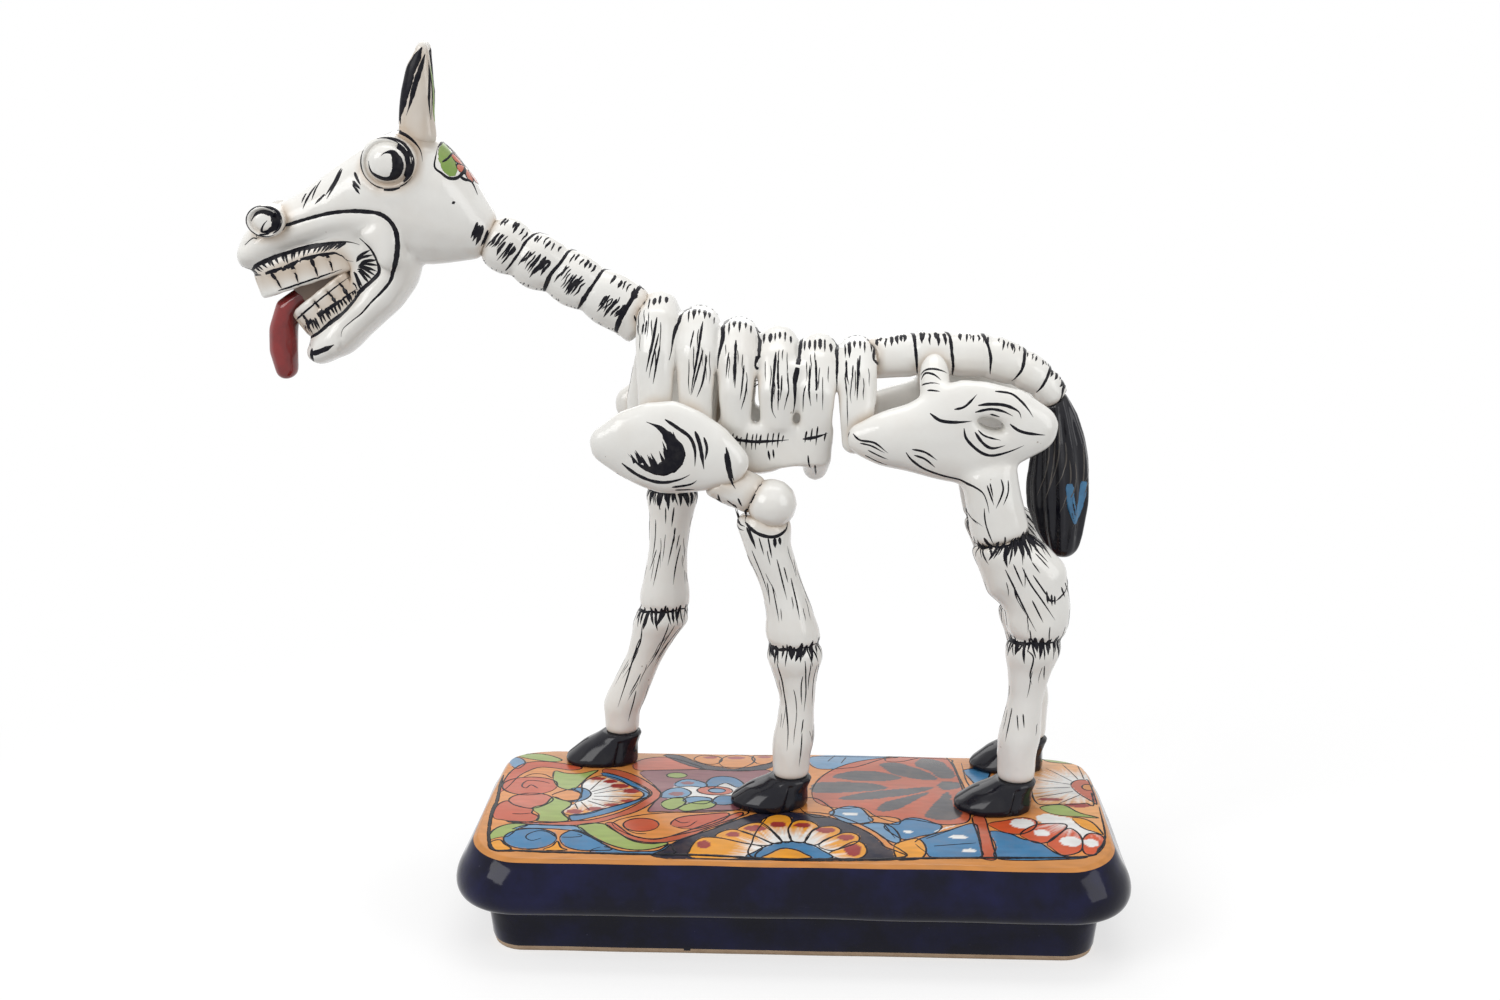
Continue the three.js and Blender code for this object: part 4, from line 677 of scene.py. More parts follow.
link(brush, reckon(brush, "MULTIPLY", half, weight), held.inputs["half_width"])
rim_curve = add_node(brush, "GeometryNodeCurvePrimitiveCircle", {"Resolution": given["Sides"], "Radius": 1.0},
                     mode="RADIUS").outputs["Curve"]
rim = add_node(brush, "GeometryNodeCaptureAttribute", {"Geometry": rim_curve}, domain="POINT")
rim.capture_items.new("VECTOR", "round")
link(brush, here, rim.inputs["round"])
ribbon = add_node(brush, "GeometryNodeCurveToMesh", {"Curve": held.outputs["Geometry"],
                                                     "Profile Curve": rim.outputs["Geometry"],
                                                     "Fill Caps": True}).outputs["Mesh"]
side = reckon_vector(brush, "NORMALIZE", reckon_vector(brush, "CROSS_PRODUCT", held.outputs["along"],
                                                       held.outputs["up"]))
turned = add_node(brush, "ShaderNodeSeparateXYZ", {"Vector": rim.outputs["round"]}).outputs
aside = reckon_vector(brush, "SCALE", side, reckon(brush, "MULTIPLY", turned["X"], held.outputs["half_width"]))
edge_at, edge_up = on_clay(reckon_vector(brush, "ADD", held.outputs["middle"], aside))
body_of_paint = reckon(brush, "MINIMUM", reckon(brush, "MULTIPLY", held.outputs["half_width"], 0.6),
                       given["Thickness"])
lifted = reckon_vector(brush, "SCALE", edge_up, reckon(brush, "MULTIPLY", turned["Y"], body_of_paint))
ribbon = add_node(brush, "GeometryNodeSetPosition", {"Geometry": ribbon, "Position": reckon_vector(
    brush, "ADD", edge_at, lifted)}).outputs["Geometry"]
ribbon = add_node(brush, "GeometryNodeSetShadeSmooth", {"Geometry": ribbon}).outputs["Geometry"]
ribbon = add_node(brush, "GeometryNodeRealizeInstances", {"Geometry": ribbon}).outputs["Geometry"]
ribbon = add_node(brush, "GeometryNodeSetMaterial", {"Geometry": ribbon, "Material": given["Paint"]}).outputs[
    "Geometry"]
link(brush, ribbon, add_node(brush, "NodeGroupOutput").inputs["Geometry"])


def evaluated(obj):
    """The plain mesh that an object's modifiers make."""
    graph = bpy.context.evaluated_depsgraph_get()
    return bpy.data.meshes.new_from_object(obj.evaluated_get(graph), depsgraph=graph)


def arrays(mesh):
    """Points in millimetres about the plinth's middle, edges and triangles of a mesh."""
    points = np.empty(len(mesh.vertices) * 3)
    mesh.vertices.foreach_get("co", points)
    edges = np.empty(len(mesh.edges) * 2, np.int32)
    mesh.edges.foreach_get("vertices", edges)
    mesh.calc_loop_triangles()
    corners = np.empty(len(mesh.loop_triangles) * 3, np.int32)
    mesh.loop_triangles.foreach_get("vertices", corners)
    return (points.reshape(-1, 3) - MIDDLE) / MM, edges.reshape(-1, 2), corners.reshape(-1, 3)


guides = []


def join_bodies(name, names):
    """One mesh of the named finished pieces, for brush lines to lie on, and its search tree."""
    whole = bmesh.new()
    for each in names:
        whole.from_mesh(pieces[each].data)
    mesh = bpy.data.meshes.new(name)
    whole.to_mesh(mesh)
    whole.free()
    body = bpy.data.objects.new(name, mesh)
    bpy.context.collection.objects.link(body)
    guides.append(body)
    points, _, corners = arrays(mesh)
    return body, BVHTree.FromPolygons(points.tolist(), corners.tolist())


def drop(search, point, toward):
    """Where a point, sent toward a direction, lands on a body; else the place on the body that it passes closest."""
    toward = Vector(toward)
    start = Vector(point) - toward * 120
    hit = search.ray_cast(start, toward, 240)[0]
    if hit is None:
        passed = [search.find_nearest(start + toward * step) for step in range(60, 220, 4)]
        hit = min(passed, key=lambda found: found[3])[0]
    return hit


def paint_lines(name, body, lines, paint, thickness=0.09, spacing=0.9, start=0.35, end=0.1, tremble=0.7,
                sides=8):
    """One piece of brush lines. lines is a list of point lists in millimetres, (place, half width) at each."""
    points, halves, edges = [], [], []
    for line in lines:
        first = len(points)
        for place, half_width in line:
            points.append(place)
            halves.append(half_width * MM)
        edges += [(first + i, first + i + 1) for i in range(len(line) - 1)]
    mesh = bpy.data.meshes.new(name)
    mesh.from_pydata(in_frame([tuple(p) for p in points]).tolist(), edges, [])
    mesh.attributes.new("half", "FLOAT", "POINT").data.foreach_set("value", halves)
    source = bpy.data.objects.new(name + "_path", mesh)
    bpy.context.collection.objects.link(source)
    modifier = source.modifiers.new("brush", "NODES")
    modifier.node_group = brush
    inputs = {"Clay": body, "Paint": paint, "Thickness": thickness * MM, "Spacing": spacing * MM,
              "Start Width": start, "End Width": end, "Tremble": tremble, "Sides": sides}
    for item in brush.interface.items_tree:
        if item.in_out == "INPUT" and item.name in inputs:
            modifier[item.identifier] = inputs[item.name]
    result = evaluated(source)
    source.modifiers.clear()
    bpy.data.objects.remove(source)
    result.name = name
    if not result.materials:
        result.materials.append(paint)
    piece = bpy.data.objects.new(name, result)
    bpy.context.collection.objects.link(piece)
    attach(piece, "root")
    return piece


NEAR, FAR = (0, 1, 0), (0, -1, 0)
MIDLINE = 18.0


def side_lines(search, rows, weight=0.68, reach=45.0):
    """Lines from rows of (width, x, z, x, z, ...), dropped on the left side, and mirrored on the right."""
    lines = []
    for toward in (NEAR, FAR):
        for width, *flat in rows:
            y = MIDLINE - toward[1] * reach
            lines.append([(drop(search, (x, y, z), toward), width * weight) for x, z in zip(flat[::2], flat[1::2])])
    return lines


def over_the_back(search, halves, row):
    """A line up the left side, over the back and down the right side. row is x, z, x, z from the top down."""
    spots = list(zip(row[::2], row[1::2]))
    spread = np.interp(np.linspace(0, 1, len(spots)), np.linspace(0, 1, len(halves)), halves)
    sides = [[(drop(search, (x, MIDLINE - toward[1] * 45, z), toward), half_width)
              for (x, z), half_width in zip(spots, spread)] for toward in (NEAR, FAR)]
    lean = (spots[0][0] - spots[1][0]) / max(spots[0][1] - spots[1][1], 1)
    crest = drop(search, (spots[0][0] + 2.5 * lean, MIDLINE, 300), (0, 0, -1))
    return sides[0][::-1] + [(crest, halves[0])] + sides[1]


def wrapped(search, middle, axis, marks, front=(0, 0, 1), reach=60.0):
    """A line round a bone. marks are (degrees from the front, millimetres along the axis, half width)."""
    axis = Vector(axis).normalized()
    front = Vector(front) - axis * axis.dot(Vector(front))
    front.normalize()
    side = axis.cross(front)
    line = []
    for degrees, shift, half_width in marks:
        out = front * math.cos(math.radians(degrees)) + side * math.sin(math.radians(degrees))
        centre = Vector(middle) + axis * shift
        hit = search.ray_cast(centre + out * reach, -out, reach)[0]
        if hit is None:
            hit = search.find_nearest(centre + out * 5)[0]
        line.append((hit, half_width))
    return line


body, search = join_bodies("cover_to_line", ["plinth_cover"])
lines = []
for outline, half_width in outlines:
    kept = outline[::2] if len(outline) > 8 else outline
    lines.append([(search.ray_cast(Vector((x, y, 80)), Vector((0, 0, -1)))[0], half_width) for x, y in kept
                  if abs(x) < half_x and abs(y) < half_y])
paint_lines("plinth_outlines", body, lines, ink, thickness=0.1, spacing=1.1, start=0.7, end=0.4,
            tremble=1.1, sides=6)

# Plinth foot: the set-back ring that carries the cover. It is dipped with the skirt, and wiped clean along its
# lowest rim, where the bare clay stood on the kiln shelf.
def finished(name, points, faces, materials, face_material=None, body="root"):
    """A smooth-shaded mesh piece from points in millimetres about the plinth's middle."""
    mesh = bpy.data.meshes.new(name)
    mesh.from_pydata(in_frame(points).tolist(), [], faces)
    mesh.shade_smooth()
    for material in materials:
        mesh.materials.append(material)
    if face_material is not None:
        mesh.polygons.foreach_set("material_index", np.asarray(face_material, np.int32))
    mesh.update()
    piece = bpy.data.objects.new(name, mesh)
    bpy.context.collection.objects.link(piece)
    return piece


def rounded_outline(half_x, half_y, corner, turns, steps):
    """Points round a rounded rectangle, evenly placed along its sides and corners."""
    line = []
    for quarter, (sx, sy) in enumerate(((1, 1), (-1, 1), (-1, -1), (1, -1))):
        for i in range(turns):
            angle = (quarter + i / turns) * math.pi / 2
            line.append((sx * (half_x - corner) + corner * math.cos(angle),
                         sy * (half_y - corner) + corner * math.sin(angle)))
        along = steps[quarter % 2]
        end = ((quarter + 1) * math.pi / 2)
        start = np.array((sx * (half_x - corner) + corner * math.cos(end),
                          sy * (half_y - corner) + corner * math.sin(end)))
        nx, ny = ((-1, 1), (-1, -1), (1, -1), (1, 1))[quarter]
        stop = np.array((nx * (half_x - corner) + corner * math.cos(end),
                         ny * (half_y - corner) + corner * math.sin(end)))
        line += [tuple(start + (stop - start) * i / along) for i in range(along)]
    return line


def ring_stack(levels, half_x, half_y, corner, turns=14, steps=(80, 24)):
    """Closed skin over rounded-rectangle rings, each level (inset, height); returns points and faces."""
    points, faces = [], []
    for inset, z in levels:
        radius = max(corner - inset, 1.0)
        outline = rounded_outline(half_x - inset, half_y - inset, radius, turns, steps)
        points += [(x, y, z) for x, y in outline]
    count = len(outline)
    for level in range(len(levels) - 1):
        for i in range(count):
            a, b = level * count + i, level * count + (i + 1) % count
            faces.append((a, b, b + count, a + count))
    faces.append(tuple(range(count))[::-1])
    last = (len(levels) - 1) * count
    faces.append(tuple(last + i for i in range(count)))
    return points, faces, count


foot_levels = [(16.8, 0.0), (16.2, 0.5), (15.8, 1.6), (15.5, 2.6), (15.0, 4.0), (14.4, 9.0), (13.6, 15.0), (13.0, 22.4)]
inner_levels = [(20.0, 22.4), (20.2, 12.0), (20.4, 2.0), (20.6, 0.6), (20.9, 0.0)]
points, faces, around = ring_stack(foot_levels + inner_levels, PLINTH["length"] / 2, PLINTH["width"] / 2,
                                   PLINTH["corner"])
faces = faces[:-2]
last = (len(foot_levels + inner_levels) - 1) * around
for i in range(around):
    a, b = last + i, last + (i + 1) % around
    faces.append((a, b, (i + 1) % around, i))
points = np.array(points)
wobbled = hand_wobble(points, 38.0, 0.5, 3.0)
points[:, :2] = wobbled[:, :2]
rim = np.array([points[list(f), 2].mean() for f in faces])
ragged = np.array([noise.noise(Vector((*(points[f[0]] / 6.0),))) for f in faces])
foot = finished("plinth_foot_ring", points, faces, [navy, bare_clay], (rim < 2.6 + 1.0 * ragged).astype(int))
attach(foot, "root")
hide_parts("plinth_foot")

# Bones: rolled and pinched clay, luted together and dipped in a cream-white glaze. Each is grown from its CAD
# solid, softened as damp clay is by the thumb, and swollen a little so that it meets its neighbours.
# Its thin colour is the glaze thinning in random patches, and painted shade where the form is crowded.
bone = glazed("bone_glaze", (0.86, 0.85, 0.815), (0.60, 0.50, 0.40), mottle_size=0.02, mottle=0.16, specks=0.45,
              gloss=0.1, peel=1.0)
black = glazed("black_glaze", (0.006, 0.006, 0.012), (0.02, 0.02, 0.024), speck=(0.12, 0.11, 0.1), mottle_size=0.008,
               mottle=0.6, specks=0.1, gloss=0.08, peel=1.0, shine=0.28)

BOX_LOW, BOX_HIGH = ((np.array(corner) - MIDDLE) / MM for corner in cad_box)


def cad_shell(nodes, swell, extras=()):
    """A mesh of merged copies of CAD nodes, each pushed out by swell millimetres."""
    shell = bmesh.new()
    for node in nodes:
        part = bmesh.new()
        part.from_mesh(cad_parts[node].data)
        bmesh.ops.remove_doubles(part, verts=part.verts, dist=2e-6)
        part.normal_update()
        for vertex in part.verts:
            vertex.co += vertex.normal * swell * MM
        copy = bpy.data.meshes.new("copy")
        part.to_mesh(copy)
        shell.from_mesh(copy)
        part.free()
        bpy.data.meshes.remove(copy)
    for extra in extras:
        shell.from_mesh(extra)
    mesh = bpy.data.meshes.new("shell")
    shell.to_mesh(mesh)
    shell.free()
    return mesh


def remeshed(mesh, voxel):
    """One even skin over a mesh's solids, with cells of voxel millimetres."""
    obj = bpy.data.objects.new("shape", mesh)
    bpy.context.collection.objects.link(obj)
    skin = obj.modifiers.new("skin", "REMESH")
    skin.mode = "VOXEL"
    skin.voxel_size = voxel * MM
    result = evaluated(obj)
    bpy.data.objects.remove(obj)
    bpy.data.meshes.remove(mesh)
    return result


def relaxed(points, edges, rounds, weight=1.0):
    """Each point moves half way to the mean of its neighbours, several times."""
    points = points.copy()
    a, b = edges.T
    size = len(points)
    shared = np.maximum(np.bincount(edges.ravel(), minlength=size), 1)
    for _ in range(rounds):
        for axis in range(3):
            column = points[:, axis]
            mean = (np.bincount(a, column[b], size) + np.bincount(b, column[a], size)) / shared
            points[:, axis] = column + 0.5 * weight * (mean - column)
    return points


def normals_of(points, corners):
    """Unit normals at the points, and the volume and area that the triangles hold."""
    p0, p1, p2 = points[corners[:, 0]], points[corners[:, 1]], points[corners[:, 2]]
    facing = np.cross(p1 - p0, p2 - p0)
    volume = (p0 * np.cross(p1, p2)).sum() / 6
    area = np.linalg.norm(facing, axis=1).sum() / 2
    total = np.zeros_like(points)
    for axis in range(3):
        for corner in range(3):
            total[:, axis] += np.bincount(corners[:, corner], facing[:, axis], len(points))
    return total / np.maximum(np.linalg.norm(total, axis=1), 1e-9)[:, None], volume, area


def clay(name, nodes, material, voxel=0.85, soften=36, swell=0.3, wobble=0.35, shape=None, extras=()):
    """A clay piece grown from CAD nodes. shape(points, normals) may press marks into it."""
    mesh = remeshed(cad_shell(nodes, 0.18, extras), voxel)
    points, edges, corners = arrays(mesh)
    _, volume, area = normals_of(points, corners)
    points = relaxed(points, edges, soften)
    facing, less, area = normals_of(points, corners)
    points += facing * ((volume - less) / area + swell)
    seed = sum(ord(letter) for letter in name) * 0.37
    points = hand_wobble(points, 14.0, wobble, seed)
    if shape is not None:
        facing, _, _ = normals_of(points, corners)
        points = shape(points, facing)
    points = np.clip(points, BOX_LOW + 0.15, BOX_HIGH - 0.15)
    mesh.vertices.foreach_set("co", in_frame(points).ravel())
    mesh.shade_smooth()
    mesh.materials.clear()
    mesh.materials.append(material)
    mesh.update()
    mesh.name = name
    piece = bpy.data.objects.new(name, mesh)
    bpy.context.collection.objects.link(piece)
    pieces[name] = piece
    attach(piece, "root")
    if nodes:
        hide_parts(*nodes)
    return piece


def slab(outline, y_low, y_high):
    """A flat slab of clay cut to an outline of (x, height), between two depths."""
    count = len(outline)
    points = [(x, y, z) for y in (y_low, y_high) for x, z in outline]
    faces = [tuple(range(count)), tuple(reversed(range(count, 2 * count)))]
    faces += [(i + count, (i + 1) % count + count, (i + 1) % count, i) for i in range(count)]
    mesh = bpy.data.meshes.new("slab")
    mesh.from_pydata(in_frame(points).tolist(), [], faces)
    turned = bmesh.new()
    turned.from_mesh(mesh)
    bmesh.ops.recalc_face_normals(turned, faces=turned.faces)
    turned.to_mesh(mesh)
    turned.free()
    return mesh


# Hooves: blunt wedges of clay, dipped black, each with a crease at its heel and a rolled rim where the cannon
# bone is luted in.
def hoof_shape(node):
    """Draws a hoof in to the bone above it, and presses in its cleft and the crease of its heel."""
    low, high = ((np.array(corner) - MIDDLE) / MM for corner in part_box(node))
    crease_x = low[0] + 0.68 * (high[0] - low[0])

    def shape(points, facing):
        height = np.clip((points[:, 2] - low[2]) / (high[2] - low[2]), 0, 1)
        crease = np.exp(-((points[:, 0] - crease_x - 4 * (height - 0.5)) / 1.0) ** 2) * (height < 0.85)
        toe = np.exp(-((points[:, 1] - (low[1] + high[1]) / 2) / 1.0) ** 2) * (points[:, 0] < low[0] + 9)
        upright = facing[:, 2] > -0.7
        points = points - facing * ((1.2 * crease + 0.6 * toe) * upright)[:, None]
        crown = points[height > 0.75][:, :2]
        middle = (crown.min(0) + crown.max(0)) / 2
        drawn_in = 1 - 0.15 * np.clip((height - 0.25) / 0.6, 0, 1) ** 1.3
        points[:, :2] = middle + (points[:, :2] - middle) * drawn_in[:, None]
        return points
    return shape


for place in ("front_left", "front_right", "hind_left", "hind_right"):
    clay(f"hoof_{place}_horn", [f"hoof_{place}"], black, voxel=0.7, soften=12,
         shape=hoof_shape(f"hoof_{place}"))

# Limb bones: rolled clay pinched thinner at the middle, luted end to end, with a ball at the elbow and a pressed
# blade at the shoulder. Stitched joins, cracks and grain are brushed on.
# Knuckles are a height, how far the thumb lifts the clay there or draws it in, and how far that reaches.
FORE_KNUCKLES = ((125.5, -0.8, 1.7), (132, 0.5, 5), (118, 0.9, 5), (152, -0.8, 13), (100, -1.0, 10), (81, 0.6, 6),
                 (181.5, -0.6, 1.8), (176, 0.4, 5))
HIND_KNUCKLES = ((173.5, -0.9, 1.9), (180, 0.6, 5), (166, 0.5, 5), (129.5, -0.8, 1.8), (136, 0.5, 5),
                 (122, 0.9, 5), (103, -1.0, 10), (84, 0.7, 6))


def knuckled(knuckles):
    """Bone ends swell at their joins, with a groove where they meet, and the shafts draw in between."""
    def shape(points, facing):
        lift = sum(rise * np.exp(-((points[:, 2] - height) / reach) ** 2) for height, rise, reach in knuckles)
        return points + facing * lift[:, None] * (1, 1, 0)
    return shape


for side in ("left", "right"):
    clay(f"fore_leg_{side}_bone", [f"forearm_{side}", f"cannon_front_{side}"], bone, soften=20,
         shape=knuckled(FORE_KNUCKLES))
    clay(f"hind_leg_{side}_bone", [f"gaskin_{side}", f"cannon_hind_{side}"], bone, soften=20,
         shape=knuckled(HIND_KNUCKLES))
    clay(f"elbow_ball_{side}_knob", [f"elbow_ball_{side}"], bone, soften=10)
    clay(f"upper_arm_{side}_bone", [f"upper_arm_{side}"], bone, soften=20)
    clay(f"shoulder_blade_{side}", [f"scapula_{side}"], bone)
    clay(f"hip_and_thigh_{side}", [f"hip_{side}", f"thigh_{side}"], bone, soften=40)

# Rows are a line's width, then its points: x and height, in millimetres.
SHOULDER_MARKS = (
    (1.4, -54.5, 225.9, -49, 222.4, -44, 218.6, -41.9, 213.2, -42, 206.3),
    (1.5, -41.9, 221.1, -39.8, 215.3, -38.2, 205), (1.1, -38.2, 218.6, -36.9, 214, -37.7, 209),
    (1.5, -72.9, 207, -67.5, 202.6, -61.2, 199.6, -54.9, 198.8, -48.4, 200.4, -44.1, 202.7),
    (1.1, -52, 196.5, -44.3, 198, -41.3, 200), (0.9, -50.8, 195.1, -42.3, 195.6),
    (1.2, -29, 214.2, -27.7, 208.8, -26.9, 203.6, -25.7, 199.3), (1.0, -32.6, 193.4, -30.4, 188, -27.6, 187.2),
    (0.9, -28.8, 190.6, -25.5, 187.7), (0.9, -24.1, 191.9, -22.5, 188),
)
# The dark hollow of the blade: its outer edge, with the half width of paint there.
BLADE_HOLLOW = ((-62.5, 225.1, 0.3), (-56.6, 223.5, 1.0), (-51.5, 220.3, 2.2), (-47.4, 215.3, 3.2),
                (-46.1, 211.1, 3.7), (-47, 206.7, 3.8), (-50.4, 203.6, 3.6), (-56.9, 201.6, 2.8),
                (-63.2, 203.3, 1.9), (-67.3, 206.8, 1.0), (-70.6, 211.5, 0.3))
BLADE_MIDDLE = np.array((-58.0, 213.0))
# Lines round the elbow's ball and down the upper arm.
JOINT_LINES = (
    (-14, 197.4, -17.9, 191.6, -20.8, 185.7, -21.1, 181.1), (-21.1, 181.1, -15.6, 177, -8.8, 175.5, -3.8, 177.7,
     -1.4, 181.3), (-29.3, 211.7, -28.1, 204.8, -26.8, 199.5, -25.1, 196), (-33.3, 191.1, -31.6, 186.2, -29, 184),
    (-30.3, 181.8, -26.8, 179.2, -21.7, 177.4), (-29.4, 184.5, -25.1, 181, -21.2, 179.2),
    (-26.4, 188.9, -24.7, 186.7), (-20.4, 179.2, -18.2, 174.3, -16.5, 169.9), (-8.5, 175, -8.2, 170.5),
    (-6.5, 175, -6.0, 171.5),
)
HIP_MARKS = (
    (1.3, 21.9, 217.5, 22.9, 220), (1.4, 56.2, 228.6, 60.4, 225.8, 66.6, 225.1, 73.7, 225.6),
    (1.1, 66.2, 230.4, 70.7, 231.7, 75.7, 236.5),
    (1.4, 76.1, 232.1, 81.1, 232.6, 87.4, 232.1, 92.8, 229.7, 94.1, 226.8),
    (1.2, 74.9, 229.3, 81.1, 230.6, 86.5, 229.7, 90.7, 227.7), (0.9, 81.1, 228.5, 85.3, 227.3),
    (1.2, 83.2, 237.6, 89.6, 236.7, 93.7, 234, 97, 230.4, 99.2, 227.1),
    (1.3, 89.5, 224.4, 92.9, 221.9, 97.2, 220.5, 104.5, 219.5),
    (1.3, 70.4, 222.6, 71.4, 218.4, 75.3, 214.1, 79.6, 211.4, 83.8, 211, 90, 212.7, 95.8, 215.3),
    (1.3, 75, 221, 78.5, 216.3, 82.4, 214.1, 87.8, 215.3), (0.9, 76.3, 221.8, 79.3, 219.3, 86, 217.5),
    (1.0, 24.2, 219.6, 27.1, 217.3, 33.4, 216.4, 38.9, 212.2), (0.8, 27.1, 216, 32.2, 215, 37.6, 212.2),
    (0.8, 30.5, 213.1, 39, 209.3), (0.8, 29.3, 210.6, 39.1, 206.3),
    (1.0, 48.9, 213.8, 54.4, 212.4, 59.6, 208.7), (1.0, 49.8, 211.2, 54.5, 209.3, 58.9, 205.4),
    (1.2, 46.4, 212.5, 49, 208.9, 54.7, 204.5, 63.3, 201.1, 71.8, 198.7, 75.8, 197.3, 79.1, 195, 80.9, 190.8,
     81.8, 186.6),
    (1.2, 52.9, 242.1, 54.5, 244.4, 60.7, 244.8, 63.9, 243.1), (1.2, 53, 240.4, 54.5, 243.3, 58.5, 243, 61, 241.1),
    (0.9, 53.1, 238.4, 60.5, 239.7), (0.9, 55.2, 237.1, 60.5, 237.1),
)
HIND_MARKS = (
    (1, 80.6, 198.6, 83.7, 190.1), (0.9, 81.8, 199.5, 83.2, 193.6), (1.2, 86.4, 201.1, 87.4, 196.4, 84.6, 188.9),
    (1, 89.5, 200.4, 89.6, 195.5, 87.6, 190.1), (0.9, 79.7, 188.6, 80.7, 181.3, 84.8, 171.3),
    (0.8, 73.6, 185, 77.5, 181.1), (0.8, 72.5, 187, 79.5, 180.5),
    (1.1, 89.2, 162.5, 92.3, 156.4, 96, 148.8, 99.6, 141.8, 103.2, 135.4),
    (1, 96.3, 163.6, 99.8, 156.7, 105.7, 148.3, 111.2, 140.1), (0.9, 100.5, 165.6, 104, 160.9),
    (0.9, 101.5, 170.9, 107.6, 164.9), (0.9, 101.9, 169, 108, 162.5), (1, 101, 160.1, 108.7, 149),
    (1, 101, 149.1, 106, 139.4), (1, 92.5, 165, 97, 155), (0.9, 94.7, 129.2, 94.4, 122.6),
    (1, 99.8, 126.4, 102.5, 123.4, 101.6, 114.8, 102.7, 110.2), (0.9, 107.5, 119.4, 108, 111.9),
    (0.9, 94.8, 98.5, 92.3, 83.5), (0.8, 96.9, 96, 97.5, 89.2), (0.8, 99.4, 96.7, 100, 90.4),
    (1.5, 107.2, 151.5, 108.5, 149, 111.5, 148.6), (1.1, 111.5, 148.6, 115, 151.2, 118.4, 154.7),
    (1.3, 107, 153, 107.8, 147.5), (1.3, 109.2, 151.5, 109.6, 146.5), (1.4, 110.6, 150.8, 110.9, 146.8),
    (1.3, 113.6, 154, 115.4, 149.2), (1.2, 115.3, 155.5, 117.2, 150.2), (1.1, 117.3, 156, 118.6, 151),
)
FORE_MARKS = (
    (0.9, -18.2, 168.8, -14.8, 160, -11.3, 148.8), (1.1, -19.4, 179.3, -17.3, 173.7),
    (0.9, -15.1, 175.2, -13, 167.2), (1.1, -11.3, 175.3, -9.6, 166),
    (0.9, -7.5, 165.4, -5.3, 156.2, -3.1, 147.4), (0.8, -4.5, 161.8, -2.7, 154.7),
    (1, -1.5, 156.6, 0.7, 147.2, 2.5, 138.4), (0.8, -9.6, 153.8, -6.5, 137.4), (0.8, -11.7, 154.6, -10.5, 144.3),
    (1.1, -7.3, 119.6, -5.2, 110.3, -3.8, 101, -2.4, 87.5, -2.8, 78.4), (0.9, 4.8, 120.5, 5.3, 106.1, 4.5, 95.9),
    (0.8, 7.4, 118.9, 6.2, 105.9), (0.8, 10, 117.1, 8, 97.4), (0.8, 10.7, 117.6, 9.8, 105.5),
    (0.8, 3.7, 86.3, 2.5, 70.9), (0.9, 8.8, 88.1, 7, 72.6),
)
brushed = random.Random(11)


def slice_middle(found, height):
    """The middle of a limb's points at a height."""
    level = min(max(height, found[:, 2].min() + 2), found[:, 2].max() - 2)
    near = found[np.abs(found[:, 2] - level) < 1.5]
    return Vector((*((near.min(0) + near.max(0)) / 2)[:2], height))


def stitched_join(search, middle, ticks, above, below, width=1.1, tilt=0.0):
    """A join drawn round a bone, crossed by ticks that run out above and below it."""
    marks = [(degrees, tilt * math.cos(math.radians(degrees)) + brushed.uniform(-0.5, 0.5),
              width / 2 * brushed.uniform(0.6, 1.4)) for degrees in range(-180, 181, 12)]
    lines = [wrapped(search, middle, (0, 0, 1), marks, front=(-1, 0, 0))]
    for i in range(ticks):
        degrees = -180 + 360 * (i + brushed.uniform(-0.4, 0.4)) / ticks
        at = tilt * math.cos(math.radians(degrees))
        lean = brushed.uniform(-9, 9)
        heavy = brushed.choice((0.4, 0.5, 0.7, 0.95))
        top, bottom = above * brushed.uniform(0.1, 1), -below * brushed.uniform(0.35, 1)
        lines.append(wrapped(search, middle, (0, 0, 1), [(degrees - lean / 2, at + top, heavy),
                                                         (degrees, at + (top + bottom) / 2, heavy),
                                                         (degrees + lean, at + bottom, heavy)], front=(-1, 0, 0)))
    return lines


def grain(search, own, low, high, count):
    """Thin streaks down a bone, all round it, between two heights."""
    streaks = []
    for _ in range(count):
        turn, top = brushed.uniform(-180, 180), brushed.uniform(low + 6, high)
        length, lean, thin = brushed.uniform(5, 15), brushed.uniform(-9, 9), brushed.choice((0.16, 0.2, 0.28))
        streaks.append([wrapped(search, slice_middle(own, top - length * t), (0, 0, 1),
                                [(turn + lean * t + brushed.uniform(-2, 2), 0, thin)], front=(-1, 0, 0))[0]
                        for t in (0, 0.3, 0.6, 1) if top - length * t > low])
    return streaks


def limb_side(search, rows, own, fellow):
    """A limb's lines on both of its sides. Rows are drawn for the left limb and follow the other's stance."""
    lines = []
    for width, *flat in rows:
        spots = [(x, z, slice_middle(own, z), slice_middle(fellow, z).x) for x, z in zip(flat[::2], flat[1::2])]
        for toward in (NEAR, FAR):
            lines.append([(drop(search, (x + middle.x - fellow_x, middle.y - toward[1] * 30, z), toward),
                           width * 0.36) for x, z, middle, fellow_x in spots])
    return lines


